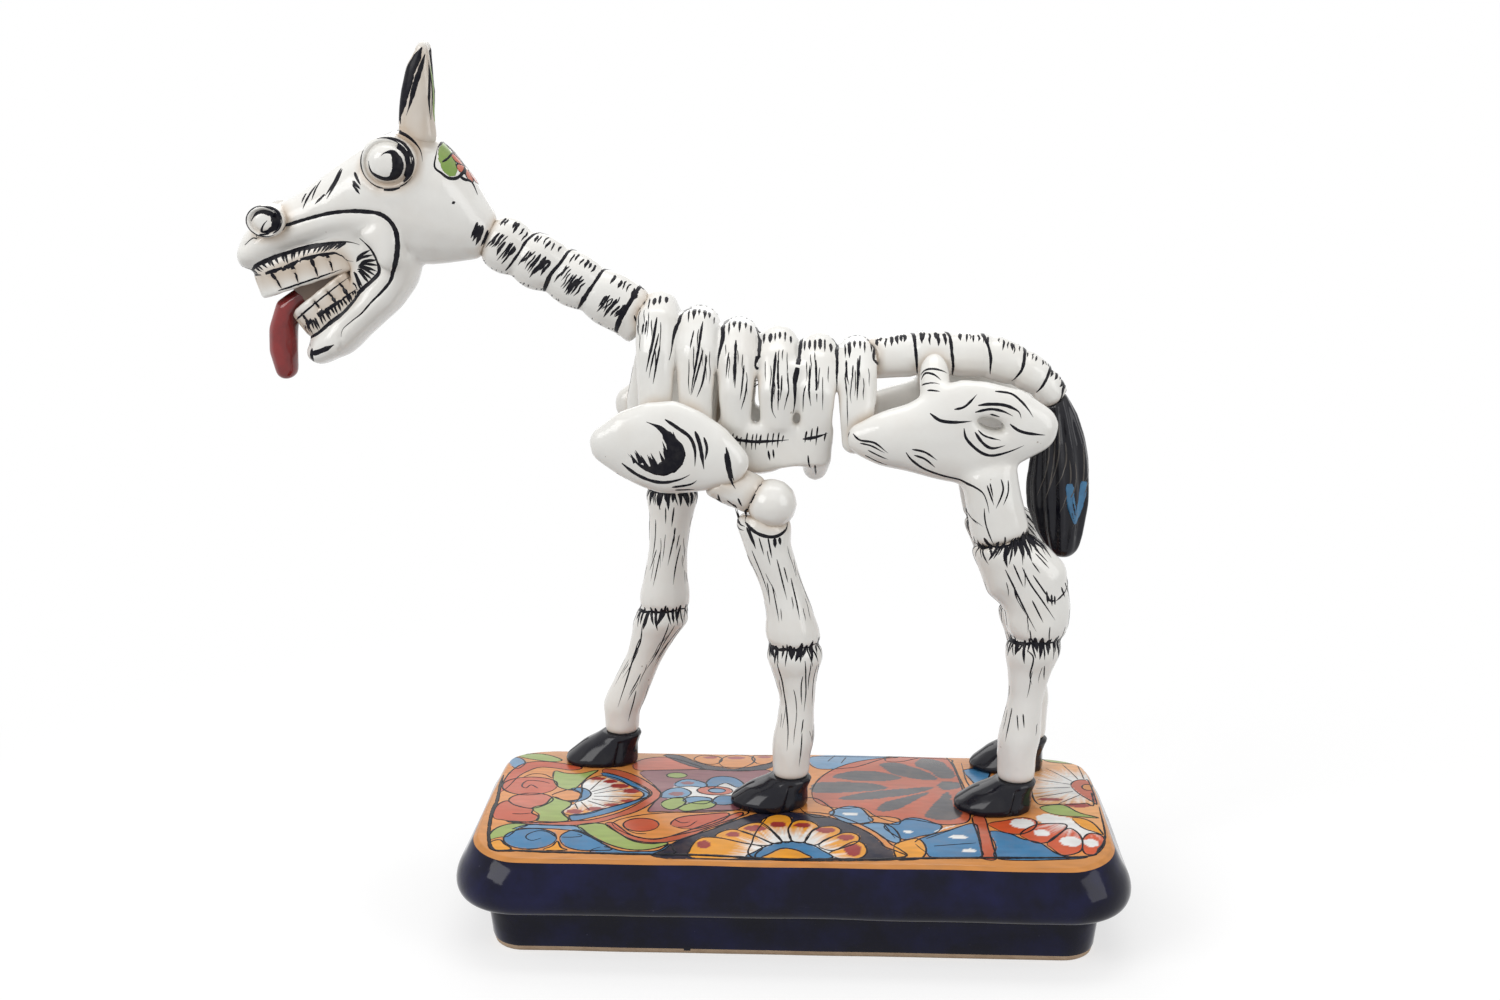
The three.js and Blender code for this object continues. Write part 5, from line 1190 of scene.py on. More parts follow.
body, search = join_bodies("shoulders_and_hips", [name for name in pieces if name.startswith((
    "shoulder", "hip", "upper_arm", "elbow", "fore_leg"))])
lines = side_lines(search, SHOULDER_MARKS, 0.55) + side_lines(search, HIP_MARKS, 0.48)
spikes = []
for toward in (NEAR, FAR):
    y = MIDLINE - toward[1] * 45
    crescent = []
    for i, (x, z, half_width) in enumerate(BLADE_HOLLOW):
        inward = (BLADE_MIDDLE - (x, z)) / np.linalg.norm(BLADE_MIDDLE - (x, z))
        cx, cz = np.array((x, z)) + inward * half_width
        crescent.append((drop(search, (cx, y, cz), toward), half_width))
        if not 3 <= i <= 9:
            continue
        for _ in range(3):
            root = np.array((x, z)) + inward * half_width * 1.2 + (brushed.uniform(-2.2, 2.2), 0)
            tip = root + np.array((-0.15 - 0.04 * i, 1.0)) * (half_width + brushed.uniform(2.2, 4.6))
            spikes.append([(drop(search, (*((root + (tip - root) * t)[[0]]), y, (root + (tip - root) * t)[1]), toward),
                            0.95 * (1 - t) + 0.12) for t in (0, 0.35, 0.7, 1)])
    lines.append(crescent)
    ball = Vector(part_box(f"elbow_ball_{'left' if toward is NEAR else 'right'}")[0])
    shift = (ball - Vector(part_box("elbow_ball_left")[0])) / MM
    for row in JOINT_LINES:
        lines.append([(drop(search, (x + shift.x, y, z + shift.z), toward), 0.8)
                      for x, z in zip(row[::2], row[1::2])])
paint_lines("shoulder_and_hip_lines", body, lines, ink, spacing=0.8)
paint_lines("shoulder_hollow_streaks", body, spikes, ink, spacing=0.8, start=1.0, end=0.5)

for side in ("left", "right"):
    for place, rows, joins in (
            ("fore", FORE_MARKS, ((125.5, 40, 3.5, 9.5, 1.7, -1.0), (182, 44, 2.5, 9.0, 1.5, 0.5))),
            ("hind", HIND_MARKS, ((173.5, 50, 4.5, 9.5, 1.8, -2.5), (129.5, 42, 3.5, 9.0, 1.7, -0.8)))):
        own = arrays(pieces[f"{place}_leg_{side}_bone"].data)[0]
        fellow = arrays(pieces[f"{place}_leg_left_bone"].data)[0]
        names = [f"{place}_leg_{side}_bone"] + [f"hip_and_thigh_{side}"] * (place == "hind")
        body, search = join_bodies(f"{side}_{place}_limb", names)
        lines = limb_side(search, rows, own, fellow)
        for height, ticks, above, below, width, tilt in joins:
            lines += grain(search, own, height - 46, height - 10, 22)
            if (place, side, height) != ("fore", "left", 182):
                lines += stitched_join(search, slice_middle(own, height), ticks, above, below, width, tilt)
        paint_lines(f"{place}_leg_{side}_lines", body, lines, ink, spacing=0.8, sides=6)
    for place in ("front", "hind"):
        own = arrays(pieces[f"{'fore' if place == 'front' else 'hind'}_leg_{side}_bone"].data)[0]
        top = (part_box(f"hoof_{place}_{side}")[1].z - MIDDLE[2]) / MM
        body, search = join_bodies(f"hoof_{place}_{side}_guide", [f"{'fore' if place == 'front' else 'hind'}_leg_"
                                                                  f"{side}_bone", f"hoof_{place}_{side}_horn"])
        ring = slice_middle(own, top + 2)
        edge = [wrapped(search, ring, (0, 0, 1), [(turn, lift + 0.7 * math.sin(turn / 37 + 2), 1.5)
                                                  for turn in range(-180, 181, 12)]) for lift in (-1.6, 0.2)]
        paint_lines(f"hoof_{place}_{side}_dip", body, edge, black, thickness=0.25, start=1.0, end=1.0,
                    tremble=0.4, sides=12)

# Rib cage: six arches bent over the spine and pinched together below on three breastbone cradles. Each arch is
# ticked over its crest, lined down its rear edge, and streaked like weathered bone.
COSTAL_WEB = ((-34, 222), (-19.5, 222), (-16.5, 219.5), (-13, 222), (-1.8, 222), (0, 219.8), (1.8, 222),
              (14.5, 222), (14.5, 207), (3.5, 203), (-6, 202), (-34, 207))
JOINED_GAP = ((-3, 226.5), (3, 226.5), (3, 247), (-3, 247))
webs = [slab(web, *depth) for web in (COSTAL_WEB, JOINED_GAP) for depth in ((-2.6, 3.5), (32.5, 38.6))]
clay("rib_cage", [f"rib_{i}" for i in range(1, 7)] + [f"breastbone_{part}" for part in ("front", "middle", "rear")],
     bone, soften=22, extras=webs)

RIB_MARKS = (
    (1.3, -59.1, 266.3, -60.8, 255.2, -63.3, 244), (0.9, -58.1, 259.9, -62, 241.5),
    (0.9, -57.5, 255.2, -60.3, 239.1), (0.9, -68.4, 264.2, -68.3, 261.9), (1, -66.7, 268.2, -66.9, 261.5),
    (1, -63.4, 265, -64, 259.1), (1.2, -39.9, 264.1, -40.8, 257, -44.3, 234.4), (0.9, -39.3, 253.1, -43.9, 234.9),
    (1.1, -37.7, 250.9, -39.2, 240.7, -41.8, 233.6), (0.8, -43.5, 260.8, -44.8, 253.1),
    (1.5, -25.7, 256.6, -25.7, 237.6), (0.9, -22, 246.9, -23.6, 232.4), (0.8, -20.7, 240.6, -23.2, 228),
    (0.8, -28.4, 252.1, -29.6, 241.5), (1.3, -8.7, 251.7, -9.7, 238.8, -10.1, 228.9, -8.4, 224.6),
    (1.1, -7.8, 248.6, -7.5, 228.1), (0.8, -6, 242.6, -6.7, 232.5), (0.8, -3.5, 243.6, -5, 228),
    (1.1, 5.8, 246.3, 6.4, 229.9), (1.1, 8.3, 248.4, 8.9, 231.7), (0.8, 4.2, 238.5, 3, 226.9),
    (1.1, 21.1, 248.1, 22.4, 238.7), (1.2, 26.1, 249.1, 26.1, 242.9, 25.8, 232.6),
    (0.8, 27, 250.2, 26.5, 244), (0.8, 24, 246.5, 24, 240), (0.8, 21.5, 246, 21.8, 232),
    (1, -11.8, 209.9, -11, 205.3), (1, -9.7, 210.3, -9.3, 206.2), (0.9, 5.3, 208.1, 6.6, 201.5),
    (0.9, 8.3, 203.8, 8.7, 197.1), (0.8, -73.7, 238.9, -80.7, 224.5),
    (1.6, -31, 216.5, -26, 214.7, -19.5, 214, -13.1, 214, -6.7, 214.2, -3.0, 214.5),
    (1.4, 3.0, 215.1, 8.2, 216.2, 13.5, 217.8),
)
RIB_GAPS = (
    (-47.6, 269.8, -51.5, 260.9, -53.7, 248.9), (-31.5, 264.4, -31.5, 258.9, -32.4, 252.5, -33.3, 244.8),
    (-15.9, 260.3, -15.9, 254.7, -16.7, 244.9, -17.5, 239.7, -18.8, 231.1),
    (1.5, 255.3, 0.3, 244.1, -0.5, 237.7, -0.5, 231.2, -1.3, 226), (16.7, 256.2, 17.6, 252.8, 17.3, 244.2, 16.9,
     235.6), (32.3, 256.7, 33.3, 247.4, 35.1, 240.1),
)
body, search = join_bodies("cage", ["rib_cage"])
lines = side_lines(search, RIB_MARKS, 0.46)
lines += [over_the_back(search, (0.9, 1.1, 0.8, 0.5), row) for row in RIB_GAPS]
for toward in (NEAR, FAR):
    y = MIDLINE - toward[1] * 45
    for x in list(np.arange(-30, -4, 2.2)) + [4.5, 6.5, 9.0, 12.0]:
        x += brushed.uniform(-0.7, 0.7)
        z = 214.3 if x < 0 else 216.3
        heavy = brushed.choice((0.3, 0.35, 0.45))
        lines.append([(drop(search, (x + 0.5, y, z + brushed.uniform(1.5, 5)), toward), heavy),
                      (drop(search, (x, y, z), toward), heavy),
                      (drop(search, (x - 0.3, y, z - brushed.uniform(1, 4.5)), toward), heavy)])
for i in range(1, 7):
    low, high = ((np.array(corner) - MIDDLE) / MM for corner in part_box(f"rib_{i}"))
    ridge = high[0] - low[0]
    middle = Vector(((low[0] + high[0]) / 2 + (2.0 if i < 3 else 0), MIDLINE, high[2] - 20))
    for shift in np.linspace(-5.6, 5.6, 6):
        for sign in (1, -1):
            start = sign * brushed.uniform(12, 20)
            end = start + sign * brushed.uniform(16, 32)
            heavy = brushed.choice((0.45, 0.6, 0.85))
            along = shift + brushed.uniform(-0.4, 0.4)
            lines.append(wrapped(search, middle, (1, 0, 0), [(start, along, heavy), ((start + end) / 2, along, heavy),
                                                             (end, along, heavy)]))
            start = sign * brushed.uniform(45, 95)
            end = start + sign * brushed.uniform(14, 34)
            lines.append(wrapped(search, middle, (1, 0, 0), [
                (start + (end - start) * t, along * 0.8 + brushed.uniform(-0.3, 0.3), 0.22) for t in (0, 0.35, 0.7, 1)]))
paint_lines("cage_lines", body, lines, ink, spacing=0.8, tremble=1.0)

# Spine: beads of clay strung in a bow from the skull to the tail. A dark join is brushed between each two, with
# ticks along the crest and ragged fringes down the neck's sides.
clay("neck_bones", [f"neck_{i}" for i in range(1, 5)], bone, soften=20, wobble=0.8)
clay("loin_bones", [f"loin_{i}" for i in range(1, 7)], bone, soften=14, wobble=0.6)
NECK_JOINS = (
    ((0.6, 0.7, 0.6, 0.8), (-109.7, 303.1, -115.1, 297.6, -119.2, 291.4, -125, 284.5)),
    ((0.6, 0.8, 0.9, 1.2), (-96.9, 294.1, -100.9, 288.2, -105.7, 282.4, -109.5, 275.1)),
    ((0.6, 0.8, 1.0, 0.9), (-82.3, 286.7, -87.4, 278.5, -91.4, 272.6, -94.9, 267.7)),
    ((0.8, 1.0, 1.3, 1.9), (-67.8, 277.3, -71.8, 270.8, -75.8, 264.2, -78.3, 257.9)),
)
LOIN_JOINS = (
    (49.9, 257.5, 51.1, 248.9, 51.9, 240.6), (64.6, 258.3, 66.5, 249, 67.4, 238.7),
    (80.6, 256.1, 82.8, 249.1, 83, 241.2), (97.5, 248.9, 96.1, 243.2, 92.3, 238.2),
    (108.2, 242, 105.5, 236.7, 103, 233.3), (114.5, 234.3, 113.4, 229.9, 108.4, 225.9),
)
CHEST_MARKS = ((1.1, -64.8, 263.6, -65.4, 259.0), (1.0, -67.6, 262.6, -67.0, 258.6), (0.8, -69.6, 266, -68.8, 263),
               (0.7, -78.5, 256.5, -77.2, 254.6), (0.7, -76.6, 253, -75.4, 250.5), (0.7, -74.8, 248.6, -73.4, 245.6))
body, search = join_bodies("spine", ["neck_bones", "loin_bones", "rib_cage"])
lines = [over_the_back(search, halves, row) for halves, row in NECK_JOINS]
lines += [over_the_back(search, (0.9, 0.7, 0.5), row) for row in LOIN_JOINS]
lines += side_lines(search, CHEST_MARKS, 0.5)


def bead(name):
    """The middle of a spine bead."""
    low, high = ((np.array(corner) - MIDDLE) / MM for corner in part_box(name))
    return (low + high) / 2


def fringe(search, middle, along, spread, count, start, length, weights, slant=0.0):
    """Short strokes round both sides of the spine, from start degrees off its crest."""
    strokes = []
    for sign in (1, -1):
        for k in range(count):
            shift = spread * (2 * (k + brushed.uniform(-0.35, 0.35)) / (count - 1) - 1)
            first = start[0] + brushed.uniform(0, start[1] - start[0])
            last = first + brushed.uniform(*length)
            heavy = brushed.choice(weights)
            strokes.append(wrapped(search, middle, along, [
                (sign * (first + (last - first) * t), shift + slant * t + brushed.uniform(-0.4, 0.4), heavy)
                for t in (0, 0.3, 0.6, 1)]))
    return strokes


neck = [bead(f"neck_{i}") for i in range(1, 5)]
neck_axis = Vector(neck[3] - neck[0]).normalized()
for middle in neck:
    middle = Vector(middle)
    lines += fringe(search, middle, neck_axis, 5.0, 10, (58, 78), (30, 58), (0.3, 0.4, 0.55, 0.75), -1.5)
    lines += fringe(search, middle, neck_axis, 5.4, 6, (14, 26), (20, 32), (0.4, 0.55, 0.7))
    lines += fringe(search, middle, neck_axis, 6.0, 6, (146, 154), (8, 14), (0.3, 0.35))
loin = [bead(f"loin_{i}") for i in range(1, 7)]
for before, middle, after in zip([loin[0]] + loin, loin, loin[1:] + [loin[5]]):
    along = Vector(after - before).normalized()
    lines += fringe(search, Vector(middle), along, 6.0, 7, (8, 20), (24, 46), (0.35, 0.5, 0.8))
paint_lines("spine_lines", body, lines, ink, spacing=0.8, tremble=0.9)

# Tail: one thick lock of clay combed with a fork, dipped black. The glaze breaks to brown on the ridges, and a
# blue arrow is dabbed low on it.
def combed(points, facing):
    """Furrows that run down the lock and wander a little."""
    height = points[:, 2]
    turn = np.arctan2(points[:, 0] - 114 + 0.06 * (height - 195), MIDLINE - points[:, 1])
    furrow = np.cos(turn * 11 + 0.9 * np.sin(height / 17))
    ends = np.clip((232 - height) / 14, 0, 1) * np.clip((height - 160) / 10, 0, 1)
    return points + facing * (0.55 * furrow * ends)[:, None]


clay("tail_lock", ["tail"], black, voxel=0.7, soften=12, shape=combed)
body, search = join_bodies("tail_body", ["tail_lock"])
ash = glazed("broken_brown_glaze", (0.09, 0.075, 0.065), (0.03, 0.03, 0.03), crevice_shade=None, mottle_size=0.004,
             mottle=0.8, specks=0.1, gloss=0.12)
arrow_blue = glazed("arrow_blue_glaze", (0.05, 0.20, 0.38), (0.03, 0.09, 0.2), crevice_shade=None, mottle_size=0.004,
                    mottle=0.6, specks=0.1, gloss=0.1)
lines = []
for toward in (NEAR, FAR):
    y = MIDLINE - toward[1] * 45
    for k in range(9):
        x = 104 + 2.6 * k + brushed.uniform(-0.8, 0.8)
        top, bottom = 224 - brushed.uniform(0, 26), 172 + brushed.uniform(0, 22)
        lines.append([(drop(search, (x + 4 * (1 - t) + 2.5 * math.sin(3 * t), y, top + (bottom - top) * t), toward),
                       0.38) for t in np.linspace(0, 1, 7)])
paint_lines("tail_breaks", body, lines, ash, thickness=0.08, spacing=1.0)
lines = []
for toward in (NEAR, FAR):
    y = MIDLINE - toward[1] * 45
    for row in (((118.6, 193.5), (119.2, 187), (121, 180), (122, 175.5)), ((125.3, 194), (124.3, 187), (123, 180),
                                                                         (122, 175.5))):
        lines.append([(drop(search, (x, y, z), toward), 2.0) for x, z in row])
paint_lines("tail_arrow", body, lines, arrow_blue, thickness=0.1, spacing=0.8, start=0.6, end=0.4)

# Skull and jaw: one hollow form pinched from a thick slab, with a rolled lip round the open mouth. Its gums, the
# webs at the corners of the mouth and the roots of the ears are pressed on and smoothed in.
LIP_OUTER = ((-235.8, 295.4), (-231.8, 298.4), (-227.4, 300.1), (-220.8, 302.2), (-214.3, 304.7), (-205.6, 307.3),
             (-196.9, 309.4), (-188.4, 310.3), (-182, 310.3), (-175.6, 309.5), (-171.5, 307), (-169.2, 302.8),
             (-168.6, 296.9), (-169.3, 291), (-171.2, 285.5), (-173.6, 280), (-177.3, 275.8), (-181.8, 271.5),
             (-186.3, 266.7), (-190.8, 263.3), (-194.9, 259.8), (-195.9, 256.4))
LIP_INNER = ((-235.5, 283.5), (-231.8, 286.5), (-227.4, 288.6), (-220.7, 291.2), (-211.9, 293.8), (-203.2, 295.5),
             (-194.5, 296.8), (-190.2, 296.9), (-186, 295.8))
LIP_REAR = ((-185.8, 298.6), (-181.7, 294.7), (-178.6, 289.4), (-178, 284.2), (-181.2, 280.7), (-184.8, 277.7),
            (-187.9, 274.7), (-190.7, 270.8), (-194.9, 266.5), (-200.7, 262.2), (-206.2, 257.8), (-210.7, 255.2),
            (-212.1, 253.5), (-210.5, 251.6))
GUM_LINE_UPPER = ((-229.9, 282.2), (-225.5, 284), (-218.9, 285.7), (-213.5, 288.3), (-208.7, 290), (-202.6, 291.3),
                  (-196.9, 292.2), (-193.6, 290.9), (-191.9, 289.2), (-188.9, 288.8))
GUM_LINE_LOWER = ((-213.6, 258.6), (-210.3, 262.1), (-205.8, 265.6), (-201.3, 268.2), (-196.8, 271.2),
                  (-192.3, 274.3), (-188.3, 276.9))
TEETH_UPPER = (((-225.1, 283.9), (-221, 276.9)), ((-215.8, 287.2), (-213.6, 279.4)),
               ((-207.4, 290), (-205, 282.2)), ((-200.4, 292), (-198.4, 284.5)))
TEETH_LOWER = (((-213.2, 265.2), (-210.4, 260.6)), ((-207.4, 271.4), (-203.8, 266)), ((-201.7, 275.7), (-197.4, 270.4)),
               ((-196.3, 279.4), (-192.1, 273.6)), ((-191.5, 282), (-188, 276.4)))


def moulded(node, shift, across=1.0):
    """A copy of a CAD node, shifted in (x, height) and narrowed across the horse."""
    part = bmesh.new()
    part.from_mesh(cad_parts[node].data)
    bmesh.ops.remove_doubles(part, verts=part.verts, dist=2e-6)
    middle = MIDLINE * MM + MIDDLE[1]
    for vertex in part.verts:
        vertex.co.x += shift[0] * MM
        vertex.co.z += shift[1] * MM
        vertex.co.y = middle + (vertex.co.y - middle) * across
    mesh = bpy.data.meshes.new("copy")
    part.to_mesh(mesh)
    part.free()
    return mesh


def line_distance(spots, line):
    """How far each (x, height) is from a line through points."""
    best = np.full(len(spots), 1e9)
    for a, b in zip(line, line[1:]):
        a, b = np.array(a, float), np.array(b, float)
        along = np.clip(((spots - a) @ (b - a)) / ((b - a) @ (b - a)), 0, 1)
        best = np.minimum(best, np.linalg.norm(spots - a - along[:, None] * (b - a), axis=1))
    return best


def lipped(points, facing):
    """Rolls the lip up between its two lines, and presses in the soft hollows of the cheek and jaw."""
    spots = points[:, [0, 2]]
    sideways = np.clip(np.abs(facing[:, 1]) * 1.6 - 0.4, 0, 1)
    within = inside_outline(spots, np.array(LIP_OUTER + ((-199, 246), (-214, 238), (-246, 250), (-246, 291))))
    from_outer = line_distance(spots, LIP_OUTER)
    from_inner = np.minimum(line_distance(spots, LIP_INNER), line_distance(spots, LIP_REAR))
    roll = np.where(within, 1 - np.exp(-(from_outer / 3.0) ** 2), 0) * (1 - 0.6 * np.exp(-(from_inner / 2.0) ** 2))
    groove = np.exp(-(from_outer / 0.9) ** 2) * 0.5
    ridge = np.exp(-(line_distance(spots, ((-204, 246), (-190, 253), (-176, 266), (-168, 276))) / 2.6) ** 2)
    hollow = np.exp(-(line_distance(spots, ((-158, 314), (-152, 303), (-150, 296))) / 6.5) ** 2)
    cheek = np.exp(-(np.linalg.norm(spots - np.array((-142, 300)), axis=1) / 10) ** 2)
    brow = np.exp(-(np.abs(np.linalg.norm(spots - np.array((-170.4, 330.4)), axis=1) - 13.5) / 2.2) ** 2)
    lift = 1.3 * roll - groove + 0.5 * ridge - 0.9 * hollow + 0.6 * cheek + 0.35 * brow
    return points + facing * (lift * sideways)[:, None]


CORNER_WEB = ((-194, 291), (-196, 298), (-188, 302), (-176, 301), (-170, 296), (-172, 286), (-177, 280),
              (-186, 274), (-191.5, 283), (-190, 286))
CHEEK_PATCH = ((-184, 301), (-176, 305), (-168, 301), (-167, 290), (-172, 285), (-177, 288), (-178, 293), (-182, 298))
gums = [moulded("upper_teeth", (-1.5, 4.6), 0.93), moulded("lower_teeth", (2.7, -3.6), 0.93),
        slab(CORNER_WEB, 6.5, 29.5), slab(CHEEK_PATCH, -0.5, 36.5)]
roots = [moulded(f"ear_{side}", (0, -1.0)) for side in ("left", "right")]
clay("skull_and_jaw", ["skull", "jaw"], bone, soften=34, shape=lipped, extras=gums + roots)

# Inside of the mouth: a rough wall of clay behind the teeth, glazed dark brown as painted shade.
mouth_shade = glazed("mouth_shade_glaze", (0.33, 0.27, 0.22), (0.16, 0.11, 0.08), mottle_size=0.008, mottle=0.9, specks=0.6,
                gloss=0.2)
clay("mouth_wall", [], mouth_shade, soften=10, extras=[slab(
    ((-222, 281), (-210, 284), (-196, 290), (-187, 291), (-185, 282), (-192, 276), (-200, 271), (-207, 268),
     (-212, 270)), 11, 25)])

# Teeth: two curved rows cut from strips of clay, each tooth parted from the next by a knife, then outlined.
def parted(dividers, front):
    """Cuts the grooves between the teeth of a row."""
    def shape(points, facing):
        spots = points[:, [0, 2]]
        cut = np.zeros(len(points))
        near = np.full(len(points), 1e9)
        for top, bottom in dividers:
            distance = line_distance(spots, (top, bottom))
            cut = np.maximum(cut, np.exp(-(distance / 0.75) ** 2) * (np.abs(facing[:, 1]) > 0.35))
            near = np.minimum(near, distance)
        for across in (0.0, 6.2):
            distance = np.abs(np.abs(points[:, 1] - MIDLINE) - across)
            cut = np.maximum(cut, np.exp(-(distance / 0.75) ** 2) * (points[:, 0] < front) * (facing[:, 0] < -0.3))
        plump = 1 - np.exp(-(np.minimum(near, 4) / 2.0) ** 2)
        return points + facing * (0.45 * plump - 0.9 * cut)[:, None]
    return shape


clay("upper_tooth_row", ["upper_teeth"], bone, voxel=0.5, soften=16, wobble=0.15,
     shape=parted(TEETH_UPPER, -224))
clay("lower_tooth_row", ["lower_teeth"], bone, voxel=0.5, soften=16, wobble=0.15,
     shape=parted(TEETH_LOWER, -210))

# Tongue: a flattened coil of clay laid over the lower teeth, in an iron-red glaze.
tongue_red = glazed("tongue_glaze", (0.27, 0.02, 0.02), (0.12, 0.014, 0.016), mottle_size=0.006, mottle=0.5,
                    specks=0.2, gloss=0.04)


def lapped(points, facing):
    """A shallow valley down the middle of the tongue."""
    valley = np.exp(-((points[:, 1] - MIDLINE) / 2.2) ** 2) * np.clip(-facing[:, 0] + 0.3 * facing[:, 2], 0, 1)
    return points - facing * (0.9 * valley)[:, None]


clay("tongue_tip", ["tongue"], tongue_red, voxel=0.6, soften=14, shape=lapped)


# Eyes and nostrils: balls of clay pressed into shallow sockets, each with a rolled ring round it.
def turned(name, node, profile, middle, oval, seed):
    """A piece turned about a line across the horse. profile is (radius, depth from the midline)."""
    toward = 1 if node.endswith("right") else -1
    rows, steps = smooth_line(profile, 5), 72
    points, faces = [], []
    for radius, depth in rows:
        for i in range(steps):
            angle = 2 * math.pi * i / steps
            points.append((middle[0] + radius * oval[0] * math.cos(angle), MIDLINE + toward * depth,
                           middle[1] + radius * oval[1] * math.sin(angle)))
    count = len(rows)
    for r in range(count - 1):
        for i in range(steps):
            a, b = r * steps + i, r * steps + (i + 1) % steps
            faces.append((a, b, b + steps, a + steps))
    points = hand_wobble(np.array(points), 9.0, 0.35, seed)
    faces += [tuple(range(steps)), tuple(reversed(range((count - 1) * steps, count * steps)))]
    mesh = bpy.data.meshes.new(name)
    mesh.from_pydata(in_frame(points).tolist(), [], faces)
    checked = bmesh.new()
    checked.from_mesh(mesh)
    bmesh.ops.recalc_face_normals(checked, faces=checked.faces)
    checked.to_mesh(mesh)
    checked.free()
    mesh.shade_smooth()
    mesh.materials.append(bone)
    piece = bpy.data.objects.new(name, mesh)
    bpy.context.collection.objects.link(piece)
    pieces[name] = piece
    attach(piece, "root")
    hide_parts(node)


EYE = ((12.0, 12.0), (12.0, 17.5), (11.6, 20.2), (10.8, 21.4), (10.0, 21.3), (9.3, 20.6), (8.7, 21.1), (7.4, 23.2),
       (5.0, 24.9), (2.4, 25.6), (0.05, 25.7))
NOSTRIL = ((8.3, 8.0), (8.3, 16.6), (7.9, 18.3), (7.2, 19.0), (6.5, 18.6), (5.9, 17.8), (5.2, 18.0), (3.8, 18.9),
           (2.0, 19.2), (0.05, 19.2))
for side in ("left", "right"):
    turned(f"eye_{side}_ball", f"eye_{side}", EYE, (-170.6, 330.4), (1.0, 0.94), 3.0)
    turned(f"nostril_{side}_ball", f"nostril_{side}", NOSTRIL, (-224.5, 306.0), (1.0, 0.84), 8.0)


# Ears: leaves of clay folded to a point and set on the poll. The front is dipped black, and a green stripe runs
# down the back.
def folded(points, facing):
    """Hollows the front of an ear and draws its tip to a point."""
    height = np.clip((points[:, 2] - 345) / 34, 0, 1)
    axis_x = -160.0 + 3.5 * height
    middle = np.where(points[:, 1] < MIDLINE, 7.5, 28.5)
    points = points.copy()
    shrink = 1 - 0.22 * height ** 3
    points[:, 0] = axis_x + (points[:, 0] - axis_x) * shrink
    points[:, 1] = middle + (points[:, 1] - middle) * shrink
    hollow = np.exp(-((points[:, 1] - middle) / 1.8) ** 2) * np.clip(-facing[:, 0], 0, 1) * (height < 0.93)
    return points - facing * (0.9 * hollow)[:, None]


for side in ("left", "right"):
    clay(f"ear_{side}_leaf", [f"ear_{side}"], bone, voxel=0.6, soften=18, shape=folded)

# Brush work on the head: mouth, gums and teeth are outlined, then the brow, eyes and nostrils.
HEAD_MARKS = (
    (1.2, -209.2, 251.2, -209.7, 248, -209.3, 245), (1.3, -209.6, 248.6, -203.4, 250.9, -198.8, 253.2),
    (0.8, -185.8, 326.4, -182.7, 321.2), (0.8, -186.3, 322.8, -182.8, 319.5),
    (0.7, -186.3, 321.5, -183.2, 317.5), (0.9, -192.7, 327.7, -194.9, 322.1, -199, 316.4),
    (0.7, -192, 327.4, -193.5, 323, -198.1, 315.2), (0.7, -202.3, 322.5, -205, 314.6),
    (0.8, -204.2, 320.5, -208.9, 310.9), (0.7, -208.4, 317.2, -209.7, 313.3),
    (0.7, -199, 317.2, -203.5, 313), (0.9, -135.4, 305.4, -138.4, 298.7),
    (1.1, -134.6, 304.1, -137.8, 297.3), (1.2, -133.5, 304, -136.8, 295.5), (1, -131.6, 301.8, -134.9, 295),
    (1.1, -130.9, 301.3, -134, 295.4), (1.0, -131, 294.6, -133.4, 289.5),
    (1.0, -143.2, 324.9, -141, 323.1, -138.5, 321.6, -136, 316.3), (0.9, -145.1, 313.5, -143.8, 314.2),
)
head_names = [name for name in pieces if name.startswith(("skull", "ear", "eye", "nostril", "upper_tooth",
                                                          "lower_tooth"))]
body, search = join_bodies("head", head_names)
lines = side_lines(search, HEAD_MARKS, 0.85)


def weighted(points, halves):
    """A line's points with a half width at each, from halves spread evenly along it."""
    spread = np.interp(np.linspace(0, 1, len(points)), np.linspace(0, 1, len(halves)), halves)
    return [(x, z, half_width) for (x, z), half_width in zip(points, spread)]


def along_line(points, share):
    """The place at a share of a line's length."""
    points = np.array(points, float)
    run = np.concatenate([[0], np.cumsum(np.linalg.norm(np.diff(points, axis=0), axis=1))])
    return np.array([np.interp(share * run[-1], run, points[:, axis]) for axis in (0, 1)])


def ringed(middle, radii, halves, start=0, stop=360, steps=26):
    """A brushed arc about a middle, with half widths spread along it."""
    angles = np.radians(np.linspace(start, stop, steps))
    return weighted([(middle[0] + radii[0] * math.cos(a), middle[1] + radii[1] * math.sin(a)) for a in angles],
                    halves)


